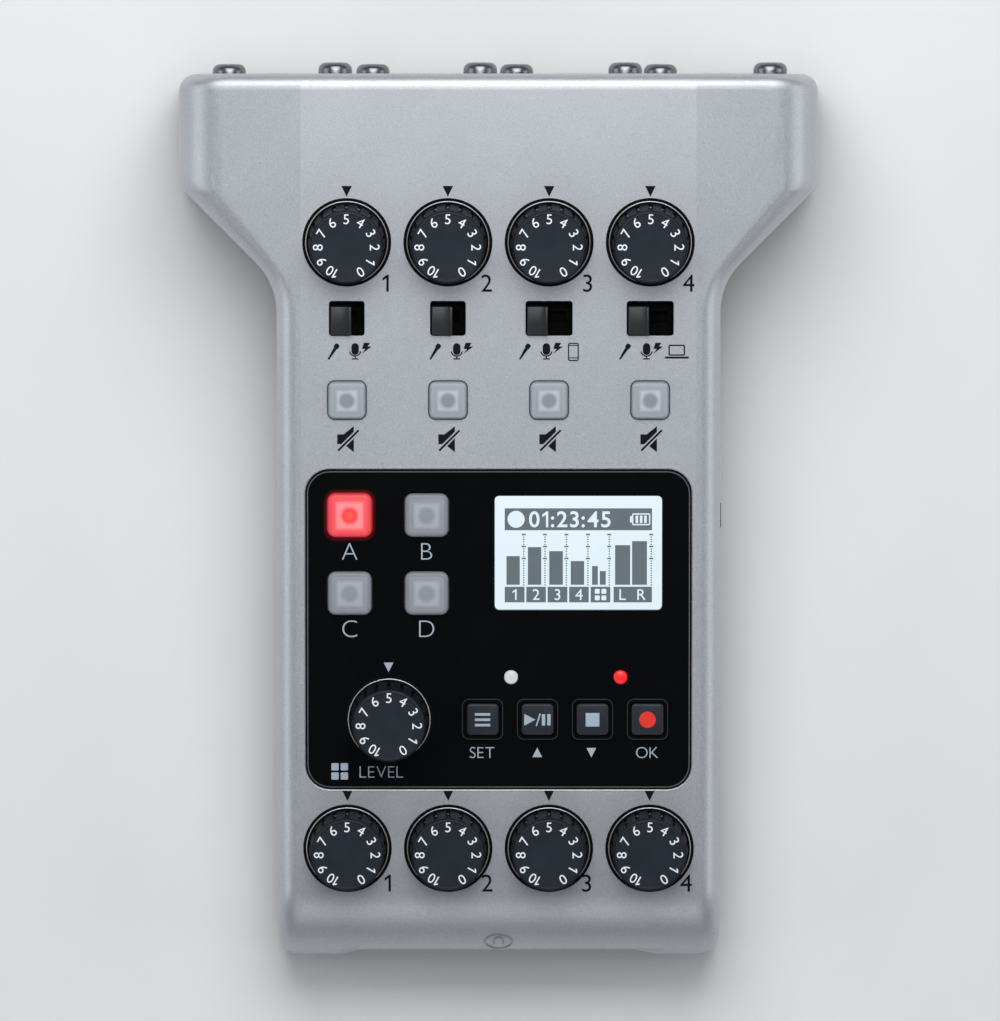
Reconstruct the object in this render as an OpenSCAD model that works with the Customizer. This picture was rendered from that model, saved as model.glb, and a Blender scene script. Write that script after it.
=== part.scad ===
// Portable podcast recorder with four microphone channels, in millimetres.
// It stands on its feet with +X to the right, +Y to the rear and +Z up.
// The control face slopes down to the front. Everything on it is placed across and along the face
// by the module on_face(), where height 0 is the face itself.

/* [Case] */
// Width across the rear shoulders
shoulder_w = 112; // [110:0.5:118]
// Width of the slim part in front of the shoulders
waist_w = 77.8; // [77.4:0.1:82]
// Length from the front edge to the rear wall
case_l = 155.2; // [154.5:0.1:165]
// Length of the shoulders along their straight sides
shoulder_l = 19.6; // [17:0.1:22]
// Height of the control face above the table, half way along the case
face_z = 33; // [32.5:0.1:38]
// Slope of the control face in degrees
face_tilt = 6.5; // [5:0.1:7]
// Thickness of the shell walls
wall = 2.4; // [2.2:0.1:2.8]
// Thickness of the bottom
floor_t = 2.5; // [2.4:0.1:3.2]
// Height of the seam between the two shells, above the inside of the bottom
seam_h = 1.2; // [0.8:0.1:1.6]
// Length of the rounded nose along the case
nose_l = 12; // [9:0.5:13]
// Height of the rounded nose
nose_h = 11; // [8:0.5:12]
// Width of the flat middle of the control face, between its two creases
crease_w = 69.2; // [68.5:0.1:70]
// Fall of the shoulders outside the creases in degrees
shoulder_fall = 5; // [2:0.5:6]
// Edge rounding along the slim part
side_round = 3.9; // [3:0.1:4.1]
// Edge rounding along the shoulders
shoulder_round = 7.6; // [4:0.1:8]
// Edge rounding along the top of the rear wall
rear_round = 2.5; // [1.5:0.1:2.9]
// Edge rounding round the bottom
bottom_round = 2; // [1:0.1:2.4]
// Hollow curve between the slim part and the shoulders
waist_curve = 12; // [8:0.5:16]
// Corner radius at the front of the shoulders
shoulder_curve = 4; // [2:0.5:6]
// Corner radius at the rear, seen from above
rear_corner = 3; // [2.5:0.1:4]
// Corner radius at the front, seen from above
front_corner = 3.5; // [2.5:0.1:4]
// Width of the shallow recess in the front wall
recess_w = 48.4; // [47.5:0.1:52]
// Depth of the shallow recess in the front wall
recess_d = 1; // [0.6:0.1:1.2]

/* [Feet and case screws] */
// Radius of a rubber foot
foot_r = 4.5; // [3.5:0.1:5]
// Height of the feet below the case
foot_h = 1.5; // [1:0.1:2.5]
// Depth that a foot is let into the bottom
foot_seat = 0.6; // [0.4:0.1:0.9]
// Radius of a case screw
screw_r = 1.3; // [1:0.05:1.4]
// Length of a case screw below its head
screw_l = 12; // [10:0.5:14]
// Radius of a case screw's head
screw_head_r = 2.3; // [2:0.05:2.4]
// Radius of the columns that the case screws hold
boss_r = 2.6; // [2.5:0.05:2.8]

/* [Knobs] */
// Spacing of the four channels across the face
channel_pitch = 17.7; // [17.2:0.1:18.2]
// Distance from the rear wall to the gain knobs
gain_back = 29.2; // [29:0.1:29.8]
// Place of the headphone knobs along the face
headphone_row = -59.8; // [-60.4:0.1:-59.4]
// Place of the pad level knob across the face
pad_knob_u = -19.2; // [-20:0.1:-18.6]
// Place of the pad level knob along the face
pad_knob_v = -36.9; // [-38:0.1:-36]
// Radius of a knob at its foot
knob_r = 6.75; // [6.2:0.05:7]
// Radius of a knob at its top
knob_top_r = 6.45; // [6:0.05:6.6]
// Height of a knob
knob_h = 7.9; // [7:0.1:10]
// Number of flutes round a knob
flutes = 18; // [12:1:24]
// Width of a flute
flute_w = 0.55; // [0.3:0.05:0.8]
// Depth of a flute at the top of the knob
flute_d = 0.4; // [0.2:0.05:0.6]
// Bevel round the top of a knob
knob_bevel = 0.45; // [0.2:0.05:0.6]
// Radius of the shaft that a knob turns on
shaft_r = 3; // [2.5:0.05:3.1]
// Radius of the ring groove round a knob
ring_r = 7.75; // [7.6:0.05:8.1]
// Width of the ring groove
ring_w = 0.4; // [0.2:0.05:0.5]
// Depth of the ring groove
ring_d = 0.9; // [0.6:0.05:1.1]

/* [Slide switches] */
// Distance from the gain knobs to the input switches
switch_step = 13.4; // [13:0.1:13.8]
// Width of a slider cap, in its direction of travel
slider_w = 3.6; // [3.2:0.1:3.8]
// Length of a slider cap
slider_l = 4.9; // [4.5:0.1:5.1]
// Room behind a slider cap in its slot
slider_back = 0.9; // [0.5:0.1:1]
// Corner radius of the slots
slot_corner = 0.5; // [0.2:0.05:0.8]
// Height of a slider cap above the face
slider_rise = 1.1; // [0.6:0.1:2]
// Travel of the switches of channels 1 and 2
short_travel = 2; // [1.5:0.1:2.5]
// Travel of the switches of channels 3 and 4
long_travel = 4; // [3.5:0.1:4.4]
// Width of the power switch cap along the side wall
power_w = 4.5; // [3.5:0.1:5]
// Height of the power switch cap
power_h = 2.4; // [2:0.1:2.8]
// Travel of the power switch
power_travel = 3; // [2:0.1:3.5]
// Height of the power switch cap outside the wall
power_rise = 0.4; // [0.2:0.1:1]
// Place of the power switch along the right wall
power_y = 0.4; // [0:0.1:0.8]

/* [Buttons] */
// Distance from the input switches to the mute buttons
mute_step = 14.4; // [13.8:0.1:15]
// Width of a mute button
mute_w = 6.6; // [6:0.1:7.2]
// Corner radius of a mute button
mute_corner = 1.2; // [0.6:0.1:2]
// Width of a sound pad
pad_w = 7.65; // [7:0.05:8]
// Corner radius of a sound pad
pad_corner = 1.4; // [0.8:0.1:2]
// Width of a key
key_w = 5.6; // [5:0.1:5.9]
// Corner radius of a key
key_corner = 0.7; // [0.4:0.1:1.2]
// Height of a button above what it stands in
button_rise = 0.9; // [0.85:0.05:1.6]
// Travel of a button
press = 0.8; // [0.4:0.05:0.82]
// Radius of a button's stem
stem_r = 1.6; // [1.2:0.05:2]

/* [Control panel] */
// Width of the black panel
panel_w = 67.6; // [67.2:0.1:68.2]
// Length of the black panel
panel_l = 56.5; // [56.1:0.1:57]
// Corner radius of the black panel
panel_corner = 4.2; // [3.5:0.1:5]
// Thickness of the black panel
panel_t = 1.5; // [1.3:0.05:1.8]
// Height of the black panel above the face
panel_proud = 0.2; // [0.1:0.05:0.3]
// Place of the middle of the black panel along the face
panel_v = -20.95; // [-21.2:0.05:-20.7]
// Width of the ledge that the black panel rests on
ledge = 2.5; // [2:0.1:2.6]
// Width of the display window
screen_w = 29.5; // [28:0.1:30.5]
// Length of the display window
screen_l = 20.2; // [19:0.1:21]
// Place of the display across the face
screen_u = 14; // [13.6:0.1:14]
// Place of the display along the face
screen_v = -7.4; // [-8:0.1:-7.4]
// Place of the left column of pads across the face
pad_u = -26.1; // [-26.2:0.1:-25.6]
// Place of the rear row of pads along the face
pad_v = -0.7; // [-1.2:0.1:-0.5]
// Spacing of the pads across the face
pad_pitch_u = 13.5; // [12.5:0.1:13.8]
// Spacing of the pads along the face
pad_pitch_v = 13.8; // [12.5:0.1:14.4]
// Place of the first key across the face
key_u = -2.8; // [-3.2:0.1:-2.6]
// Place of the keys along the face
key_v = -36.8; // [-37.6:0.1:-36.2]
// Spacing of the keys
key_pitch = 9.65; // [9.2:0.05:9.7]
// Width of the raised rim round a key
rim_w = 0.55; // [0.4:0.05:0.7]
// Height of the raised rim round a key
rim_h = 0.4; // [0.2:0.05:0.6]
// Radius of a status lamp
lamp_r = 1.15; // [0.8:0.05:1.4]
// Place of the white lamp across the face
lamp_u = 2.2; // [1.5:0.1:3]
// Distance from the white lamp to the red lamp
lamp_pitch = 19.2; // [18:0.1:20]
// Place of the lamps along the face
lamp_v = -29.4; // [-29.8:0.1:-28]

/* [Sockets] */
// Room beside the row of microphone sockets, at each end
socket_margin = 5.2; // [5:0.1:5.6]
// Height of the microphone sockets
socket_z = 21.5; // [21.4:0.1:22]
// Gap between the barrels of neighbouring microphone sockets
barrel_gap = 2; // [1.8:0.05:2.2]
// Thickness of a barrel's wall
barrel_wall = 2; // [1.9:0.05:2.1]
// Depth of a microphone socket behind the rear wall
barrel_l = 19.8; // [19:0.1:19.9]
// Width of the groove that takes the plug's sleeve
sleeve_w = 1.8; // [1.7:0.05:2]
// Depth of that groove
sleeve_l = 15; // [13:0.1:16]
// Room across a socket outside its two screws
screw_side = 6.4; // [6.2:0.1:6.8]
// Distance between a socket's two screws, upwards
screw_dz = 24; // [23.6:0.1:24.4]
// Radius of a socket screw's head
head_r = 2.95; // [2.6:0.05:3]
// Height of a socket screw's head
head_h = 2; // [1.4:0.1:2.4]
// Width of a latch tab
latch_w = 6; // [5:0.1:6.4]
// Thickness of a latch tab
latch_t = 1.5; // [1.2:0.05:1.5]
// Travel of a latch tab
latch_travel = 1.5; // [1:0.1:2]
// Radius of the bore of a 3.5 mm jack
jack_r = 1.8; // [1.75:0.05:1.9]
// Depth of the bore of a 3.5 mm jack
jack_l = 13; // [12:0.1:14]
// Radius of a jack's nose
jack_nose_r = 3; // [2.6:0.05:3.1]
// Width of a jack's housing
jack_w = 6.4; // [6.2:0.1:7]
// Spacing of the headphone jacks
jack_pitch = 13.5; // [12.5:0.1:13.8]
// Place of the phone jack along the left wall
phone_y = 26; // [25:0.1:28]
// Place of the digital port along the left wall
usb_y = 10; // [9:0.1:11]
// Place of the card slot along the right wall
card_y = 20; // [19.5:0.1:20.5]

/* [Inside] */
// Thickness of the circuit boards
board_t = 1.6; // [1.2:0.1:1.7]
// Depth of the control board's upper side below the face
board_drop = 7; // [6.8:0.05:7.1]
// Height of the main board above the bottom
standoff_h = 2.5; // [2.4:0.05:2.8]
// Width of a potentiometer
pot_w = 9.5; // [8:0.1:9.6]
// Height of a button's contact switch
tact_h = 2.4; // [2:0.05:2.4]
// Width of a button's contact switch
tact_w = 6; // [4.5:0.1:6]
// Radius of an AA cell
cell_r = 7.25; // [7:0.05:7.25]
// Length of an AA cell
cell_l = 50.5; // [49.5:0.1:50.6]
// Place of the middle of the battery bay
bay_y = -28.2; // [-28.6:0.1:-27.8]
// Thickness of the battery cover
cover_t = 2; // [1.8:0.05:2.1]

/* [Clearances] */
// Gap round what slides or turns
slide_gap = 0.2; // [0.15:0.01:0.25]
// Gap below what must not touch as it moves
stop_gap = 0.3; // [0.2:0.01:0.35]
// Gap between pieces that are pushed or laid together
seat_gap = 0.1; // [0.05:0.01:0.15]

/* [Hidden] */
$fn = 48;
// Extra length of a cut past the surface that it opens
past = 1;
// A length that is more than any of the case
far = 200;

channels = [for (k = [-1.5:1:1.5]) k];
sides = [-1, 1];

y_front = -(case_l + head_h) / 2;
y_rear = y_front + case_l;
nose_y = y_front + nose_l;
base_z = foot_h;
inner_z = base_z + floor_t;
seam_z = inner_z + seam_h;
board_z = inner_z + standoff_h;
board_top = board_z + board_t;
lip_top = board_z - seat_gap;
lip_t = 1.2;
waist_in = waist_w / 2 - wall;
gain_row = y_rear - gain_back;
switch_row = gain_row - switch_step;
mute_row = switch_row - mute_step;
socket_pitch = (shoulder_w - 2 * socket_margin) / len(channels);
barrel_r = (socket_pitch - barrel_gap) / 2;
sleeve_r = barrel_r - barrel_wall;
core_r = sleeve_r - sleeve_w;
screw_dx = socket_pitch - screw_side;

// Where the flare from the slim part to the shoulders starts, bends and ends
half_turn = tan(22.5);
flare_w = (shoulder_w - waist_w) / 2;
shoulder_y = y_rear - shoulder_l;
flare_y = shoulder_y - flare_w;
curve_start = flare_y - waist_curve * half_turn;
curve_end = flare_y + waist_curve * half_turn * cos(45);
bend_start = shoulder_y - shoulder_curve * half_turn * cos(45);
bend_end = shoulder_y + shoulder_curve * half_turn;

// How far an arc of radius r has fallen at a distance d past its highest point
function arc_fall(r, d) = d <= 0 ? 0 : r - sqrt(max(0, r * r - d * d));

// How far the side of the case stands outside the slim part
function flare(y) =
    y < curve_start ? 0
    : y < curve_end ? arc_fall(waist_curve, y - curve_start)
    : y < bend_start ? y - flare_y
    : y < bend_end ? flare_w - arc_fall(shoulder_curve, bend_end - y)
    : flare_w;

function half_w(y) = waist_w / 2 + flare(y)
    - arc_fall(front_corner, y_front + front_corner - y)
    - arc_fall(rear_corner, y - y_rear + rear_corner);

// Height of the plane of the control face
function face_height(y) = face_z + y * tan(face_tilt);

function nose_fall(y) = nose_h / nose_l * arc_fall(nose_l, nose_y - y);

function top_z(y) = face_height(y) - nose_fall(y) - arc_fall(rear_round, y - y_rear + rear_round);

function low_z(y) = base_z
    + arc_fall(bottom_round, y_front + bottom_round - y)
    + arc_fall(bottom_round, y - y_rear + bottom_round);

function edge_round(y) = side_round + (shoulder_round - side_round) * pow(flare(y) / flare_w, 3);

// Places along the case where a section is drawn
nose_steps = 10;
curve_steps = 6;
bend_steps = 4;
rear_steps = 6;
nose_ys = [for (k = [0:nose_steps]) y_front + nose_l * (1 - cos(90 * k / nose_steps))];
flare_ys = concat(
    [for (k = [0:curve_steps]) curve_start + waist_curve * sin(45 * k / curve_steps)],
    [for (k = [0:bend_steps]) bend_end - shoulder_curve * sin(45 * (1 - k / bend_steps))]);
rear_ys = [for (k = [0:rear_steps]) y_rear - rear_corner * (1 - sin(90 * k / rear_steps))];
stations = concat(nose_ys, flare_ys, rear_ys);

// Right half of a section, from the bottom edge up to the crease in the face
low_steps = 3;
edge_steps = 8;
crease_min = 0.2;
function half_section(y) =
    let (w = half_w(y), r = edge_round(y), c = min(crease_w / 2, w - r - crease_min))
    let (edge_z = top_z(y) - (w - r - c) * tan(shoulder_fall) - r)
    concat(
        [for (k = [0:low_steps]) let (a = 90 * k / low_steps)
            [w - bottom_round * (1 - sin(a)), y, low_z(y) + bottom_round * (1 - cos(a))]],
        [for (k = [0:edge_steps]) let (a = 90 * k / edge_steps)
            [w - r * (1 - cos(a)), y, edge_z + r * sin(a)]],
        [[c, y, top_z(y)]]);

function section(y) =
    let (right = half_section(y))
    concat(right, [for (k = [len(right) - 1:-1:0]) [-right[k].x, y, right[k].z]]);

// Outside of the whole case as one closed skin over the sections
module case_body() {
    ring = len(section(y_front));
    last = len(stations) - 1;
    points = [for (y = stations) each section(y)];
    skin = [for (j = [0:last - 1], i = [0:ring - 1])
        let (a = j * ring + i, b = j * ring + (i + 1) % ring)
        each [[a, b, b + ring], [a, b + ring, a + ring]]];
    front = [for (i = [ring - 1:-1:0]) i];
    rear = [for (i = [0:ring - 1]) last * ring + i];
    polyhedron(points, concat(skin, [front, rear]));
}

// Outline of the case seen from above, drawn in by a distance
module plan(inset) {
    shift = inset * half_turn;
    ys = concat([y_front + inset], [for (y = flare_ys) y + shift], [y_rear - inset]);
    right = [for (y = ys) [waist_w / 2 + flare(y - shift) - inset, y]];
    left = [for (k = [len(right) - 1:-1:0]) [-right[k].x, right[k].y]];
    polygon(concat(right, left));
}

// Places across and along the sloping face
module on_face(u = 0, v = 0) {
    translate([0, 0, face_z])
        rotate([face_tilt, 0, 0])
            translate([u, v, 0])
                children();
}

// Places on the rear wall, with +Y out of the case
module on_rear(x, z) {
    translate([x, y_rear, z])
        children();
}

// Places in a side wall, with +Y out of the case
module on_side(side, y, z) {
    translate([side * waist_w / 2, y, z])
        rotate([0, 0, -side * 90])
            children();
}

module round_rect(w, l, r) {
    square([w - 2 * r, l], center = true);
    square([w, l - 2 * r], center = true);
    for (i = sides, j = sides)
        translate([i * (w / 2 - r), j * (l / 2 - r)])
            circle(r);
}

// Plate with round corners between two heights
module slab(w, l, r, low, high) {
    translate([0, 0, low])
        linear_extrude(high - low)
            round_rect(w, l, r);
}

module block(w, l, low, high) {
    translate([-w / 2, -l / 2, low])
        cube([w, l, high - low]);
}

module rod(r, low, high) {
    translate([0, 0, low])
        cylinder(r = r, h = high - low);
}

// Rod along +Y
module rod_y(r, from, to) {
    translate([0, from, 0])
        rotate([-90, 0, 0])
            cylinder(r = r, h = to - from);
}

// Columns that the case screws pull together
boss_room = 3.5;
boss_side = 6.5;
front_boss_ahead = 21.8;
rear_boss_y = y_rear - wall - barrel_l - boss_room - boss_r;
rear_boss_x = half_w(rear_boss_y) - boss_side;
front_boss_x = waist_in - boss_r - stop_gap;
front_boss_y = bay_y - front_boss_ahead;
boss_places = [for (s = sides) each [
    [s * rear_boss_x, rear_boss_y],
    [s * front_boss_x, front_boss_y]]];
screw_bore_r = screw_r + seat_gap / 2;
screw_head_h = 1.8;
head_z = inner_z - stop_gap;

module at_bosses() {
    for (p = boss_places)
        translate(p)
            children();
}

// Room inside the upper shell
roof = wall / cos(face_tilt);
cavity_steps = 6;
module cavity() {
    nose_in = [for (k = [0:cavity_steps]) let (a = 90 * k / cavity_steps)
        let (y = nose_y - (nose_l - wall) * cos(a))
        [y, face_height(y) - roof - (nose_h - wall) * (1 - sin(a))]];
    low = inner_z;
    under = concat([[y_front + wall, low]], nose_in, [[y_rear, face_height(y_rear) - roof], [y_rear, low]]);
    shoulder_u = shoulder_w / 2 - shoulder_round;
    fall = (shoulder_u - crease_w / 2) * tan(shoulder_fall);
    inside_round = shoulder_round - wall;
    right = concat(
        [[shoulder_w / 2, -far / 2]],
        [for (a = [0:22.5:90]) [shoulder_u + inside_round * cos(a), inside_round * sin(a) - fall - shoulder_round]],
        [[crease_w / 2, -wall]]);
    left = [for (k = [len(right) - 1:-1:0]) [-right[k].x, right[k].y]];
    intersection() {
        translate([0, 0, low])
            linear_extrude(far)
                plan(wall);
        rotate([90, 0, 90])
            linear_extrude(far, center = true)
                polygon(under);
        on_face()
            rotate([90, 0, 0])
                linear_extrude(far, center = true)
                    polygon(concat(right, left));
    }
}

// Posts under the face that the control board is staked to
post_r = 2;
stake_r = 0.9;
stake_head_r = 1.6;
stake_head_h = 0.6;
post_rows = [(switch_row + mute_row) / 2, (headphone_row + pot_w / 2 + panel_v - panel_l / 2) / 2];
board_low = -board_drop - board_t;
module at_posts() {
    for (v = post_rows, k = [-1:1])
        translate([k * channel_pitch, v, 0])
            children();
}

module posts() {
    on_face()
        at_posts() {
            rod(post_r, -board_drop, 0);
            rod(stake_r, board_low - stake_head_h, 0);
            rod(stake_head_r, board_low - stake_head_h, board_low);
        }
}

// Ring groove and shallow seat that a knob stands in
seat_d = 0.25;
shaft_hole_r = shaft_r + 2 * slide_gap;
module knob_seat(surface, under) {
    difference() {
        rod(ring_r, surface - ring_d, surface + past);
        rod(ring_r - ring_w, surface - ring_d - past, surface - seat_d);
    }
    rod(shaft_hole_r, under - past, surface + past);
}

slot_l = slider_l + slider_back + stop_gap;
function slot_w(travel) = slider_w + travel + 2 * stop_gap;
travels = [short_travel, short_travel, long_travel, long_travel];

recess_ramp = 4;
module front_recess() {
    translate([0, y_front, 0])
        linear_extrude(far)
            polygon([[-recess_w / 2 - recess_ramp, 0], [-recess_w / 2, recess_d],
                [recess_w / 2, recess_d], [recess_w / 2 + recess_ramp, 0],
                [recess_w / 2, -past], [-recess_w / 2, -past]]);
}

panel_under = panel_proud - panel_t;
jack_hole_r = jack_nose_r + slide_gap;
jack_z = board_top + jack_w / 2;
socket_hole_r = barrel_r + stop_gap;
socket_screw_r = 1.4;
usb_w = 8.9;
usb_h = 3.2;
usb_z = board_top + usb_h / 2;
card_w = 26;
card_h = 2.8;
card_z = board_top + card_h / 2;
power_z = board_top + power_h + stop_gap;
port_gap = 0.35;

module at_sockets() {
    for (k = channels)
        on_rear(k * socket_pitch, socket_z)
            children();
}

module at_socket_screws() {
    for (s = sides)
        translate([s * screw_dx / 2, 0, s * screw_dz / 2])
            children();
}

// Openings in the walls of the upper shell
module wall_openings() {
    for (k = channels)
        translate([k * jack_pitch, y_front, jack_z])
            rod_y(jack_hole_r, -past, wall + past);
    at_sockets() {
        rod_y(socket_hole_r, -wall - past, past);
        at_socket_screws()
            rod_y(socket_screw_r + seat_gap, -wall - past, past);
    }
    on_side(-1, phone_y, jack_z)
        rod_y(jack_hole_r, -wall - past, past);
    on_side(-1, usb_y, usb_z)
        rotate([90, 0, 0])
            slab(usb_w + 2 * port_gap, usb_h + 2 * port_gap, usb_h / 2, -past, wall + past);
    on_side(1, card_y, card_z)
        rotate([90, 0, 0])
            block(card_w - 2 * port_gap, card_h - port_gap, -past, wall + past);
    on_side(1, power_y, power_z)
        rotate([90, 0, 0])
            block(power_w + power_travel + 2 * stop_gap, power_h + 2 * slide_gap, -past, wall + past);
}

// Openings in the sloping face of the upper shell
module face_openings() {
    on_face() {
        for (k = channels, v = [gain_row, headphone_row])
            translate([k * channel_pitch, v, 0])
                knob_seat(0, -wall);
        for (i = [0:3])
            translate([channels[i] * channel_pitch, switch_row, 0])
                slab(slot_w(travels[i]), slot_l, slot_corner, -wall - past, past);
        for (k = channels)
            translate([k * channel_pitch, mute_row, 0])
                slab(mute_w + 2 * slide_gap, mute_w + 2 * slide_gap, mute_corner + slide_gap,
                    -wall - past, past);
        translate([0, panel_v, 0]) {
            slab(panel_w + 2 * seat_gap, panel_l + 2 * seat_gap, panel_corner + seat_gap, panel_under, past);
            slab(panel_w - 2 * ledge, panel_l - 2 * ledge, panel_corner - ledge / 2, -wall - past, 0);
        }
    }
}

module top_shell() {
    color("silver")
        difference() {
            intersection() {
                case_body();
                translate([0, 0, seam_z])
                    linear_extrude(far)
                        square(far, center = true);
            }
            difference() {
                cavity();
                posts();
                at_bosses()
                    rod(boss_r, board_top, far);
            }
            at_bosses()
                rod(screw_bore_r, seam_z, head_z + screw_l + past);
            wall_openings();
            face_openings();
            front_recess();
        }
}

// Places of the rubber feet
foot_edge = 4.5;
foot_places = [for (s = sides) each [
    [s * (waist_w / 2 - foot_r - foot_edge), y_front + foot_r + foot_edge],
    [s * (shoulder_w / 2 - foot_r - foot_edge), y_rear - foot_r - foot_edge]]];

module at_feet() {
    for (p = foot_places)
        translate(p)
            children();
}

// Battery bay for two cells that lie across the case
cell_pitch = 2 * cell_r + 1;
spring_l = 3;
plate_t = 0.4;
bay_w = cell_l + 2 * spring_l + 2 * plate_t;
bay_l = cell_pitch + 2 * cell_r + 2 * stop_gap;
bay_wall = 1.2;
cover_top = base_z + cover_t;
cell_z = cover_top + stop_gap + cell_r;
bay_wall_rise = 1;
bay_wall_top = cell_z + bay_wall_rise;
bay_front = bay_y - bay_l / 2 - bay_wall - stop_gap;
bay_rear = bay_y + bay_l / 2 + bay_wall + stop_gap;
rest_r = 2;
rest_x = waist_w / 4;
rest_y = bay_rear + 2 * rest_r;
hinge_r = cover_t / 2 - seat_gap;
hinge_y = bay_y + bay_l / 2 - stop_gap - hinge_r;
hinge_z = cover_top - hinge_r;
pin_r = 0.6;
pin_l = 1.6;

module bottom_shell() {
    color("#2b2c2f")
        difference() {
            union() {
                difference() {
                    intersection() {
                        case_body();
                        linear_extrude(seam_z)
                            square(far, center = true);
                    }
                    translate([0, 0, inner_z])
                        linear_extrude(far)
                            plan(wall);
                }
                translate([0, 0, inner_z])
                    linear_extrude(lip_top - inner_z)
                        difference() {
                            plan(wall + seat_gap);
                            plan(wall + seat_gap + lip_t);
                        }
                at_bosses()
                    rod(boss_r, inner_z, board_z);
                for (s = sides)
                    translate([s * rest_x, rest_y, 0])
                        rod(rest_r, inner_z, board_z);
                translate([0, bay_y, 0])
                    block(bay_w + 2 * bay_wall, bay_l + 2 * bay_wall, inner_z, bay_wall_top);
            }
            translate([0, bay_y, 0])
                block(bay_w, bay_l, 0, far);
            for (s = sides)
                translate([s * bay_w / 2, hinge_y, hinge_z])
                    rotate([0, 90, 0])
                        cylinder(r = pin_r + slide_gap, h = 2 * pin_l, center = true);
            at_bosses() {
                rod(screw_head_r + slide_gap, 0, head_z);
                rod(screw_r + slide_gap, 0, board_top);
            }
            at_feet()
                rod(foot_r + seat_gap, 0, base_z + foot_seat);
            front_recess();
        }
}

// Hinged cover under the cells, with stub pins at its rear corners and a thumb notch at the front
module battery_cover() {
    w = bay_w - 2 * stop_gap;
    front = bay_y - bay_l / 2 + stop_gap;
    notch_r = 9;
    notch_d = 0.8;
    color("#2b2c2f")
        difference() {
            union() {
                translate([-w / 2, front, base_z])
                    cube([w, hinge_y - front, cover_t]);
                translate([0, hinge_y, hinge_z])
                    rotate([0, 90, 0]) {
                        cylinder(r = hinge_r, h = w, center = true);
                        cylinder(r = pin_r, h = bay_w + 2 * pin_l - 2 * stop_gap, center = true);
                    }
            }
            translate([0, front + notch_r / 2, base_z + notch_d - notch_r])
                rotate([0, 90, 0])
                    cylinder(r = notch_r, h = 2 * notch_r, center = true);
        }
}

module rubber_feet() {
    color("#1a1a1b")
        at_feet()
            rod(foot_r, 0, base_z + foot_seat);
}

// Cross-shaped recess in a screw head of radius r
module cross_recess(r, depth) {
    arm_l = 1.2 * r;
    arm_w = 0.25 * r;
    for (a = [0, 90])
        rotate([0, 0, a])
            block(arm_l, arm_w, 0, depth);
}

module case_screws() {
    color("#55585c")
        at_bosses()
            difference() {
                union() {
                    rod(screw_head_r, head_z - screw_head_h, head_z);
                    rod(screw_r, head_z - past, head_z + screw_l);
                }
                translate([0, 0, head_z - screw_head_h - past])
                    cross_recess(screw_head_r, 2 * past);
            }
}

// Plate of the control panel, with raised rims round the keys
key_hole = key_w + 2 * slide_gap;
module at_pads() {
    for (i = [0, 1], j = [0, 1])
        translate([pad_u + i * pad_pitch_u, pad_v - j * pad_pitch_v, 0])
            children();
}

module at_keys() {
    for (k = [0:3])
        translate([key_u + k * key_pitch, key_v, 0])
            children();
}

module at_lamps() {
    for (k = [0, 1])
        translate([lamp_u + k * lamp_pitch, lamp_v, 0])
            children();
}

module control_panel() {
    low = panel_under - past;
    high = panel_proud + rim_h + past;
    color("#0b0c0e")
        on_face()
            difference() {
                union() {
                    translate([0, panel_v, 0])
                        slab(panel_w, panel_l, panel_corner, panel_under, panel_proud);
                    at_keys()
                        slab(key_hole + 2 * rim_w, key_hole + 2 * rim_w, key_corner + rim_w,
                            panel_under, panel_proud + rim_h);
                }
                at_keys()
                    slab(key_hole, key_hole, key_corner + slide_gap, low, high);
                at_pads()
                    slab(pad_w + 2 * slide_gap, pad_w + 2 * slide_gap, pad_corner + slide_gap, low, high);
                at_lamps()
                    rod(lamp_r + seat_gap, low, high);
                translate([screen_u, screen_v, 0])
                    slab(screen_w, screen_l, screen_corner, low, high);
                translate([pad_knob_u, pad_knob_v, 0])
                    knob_seat(panel_proud, panel_under);
            }
}

screen_corner = 0.9;
lens_sink = 0.05;
module display_lens() {
    color("#dfeef5")
        on_face(screen_u, screen_v)
            slab(screen_w - 2 * seat_gap, screen_l - 2 * seat_gap, screen_corner - seat_gap,
                panel_under, panel_proud - lens_sink);
}

// Frame of the display, with the glass let into its upper side
module_edge = 1.9;
module display_module() {
    glass_sink = 0.4;
    glass_edge = 1;
    w = screen_w + 2 * module_edge;
    l = screen_l + 2 * module_edge;
    high = panel_under - seat_gap;
    color("#30343a")
        on_face(screen_u, screen_v)
            difference() {
                block(w, l, -board_drop, high);
                block(w - 2 * glass_edge, l - 2 * glass_edge, high - glass_sink, high + past);
            }
}

module status_lamps() {
    lamp_rise = 0.2;
    color("#e8e8e8")
        on_face()
            at_lamps()
                rod(lamp_r, -board_drop, panel_proud + lamp_rise);
}

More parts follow.
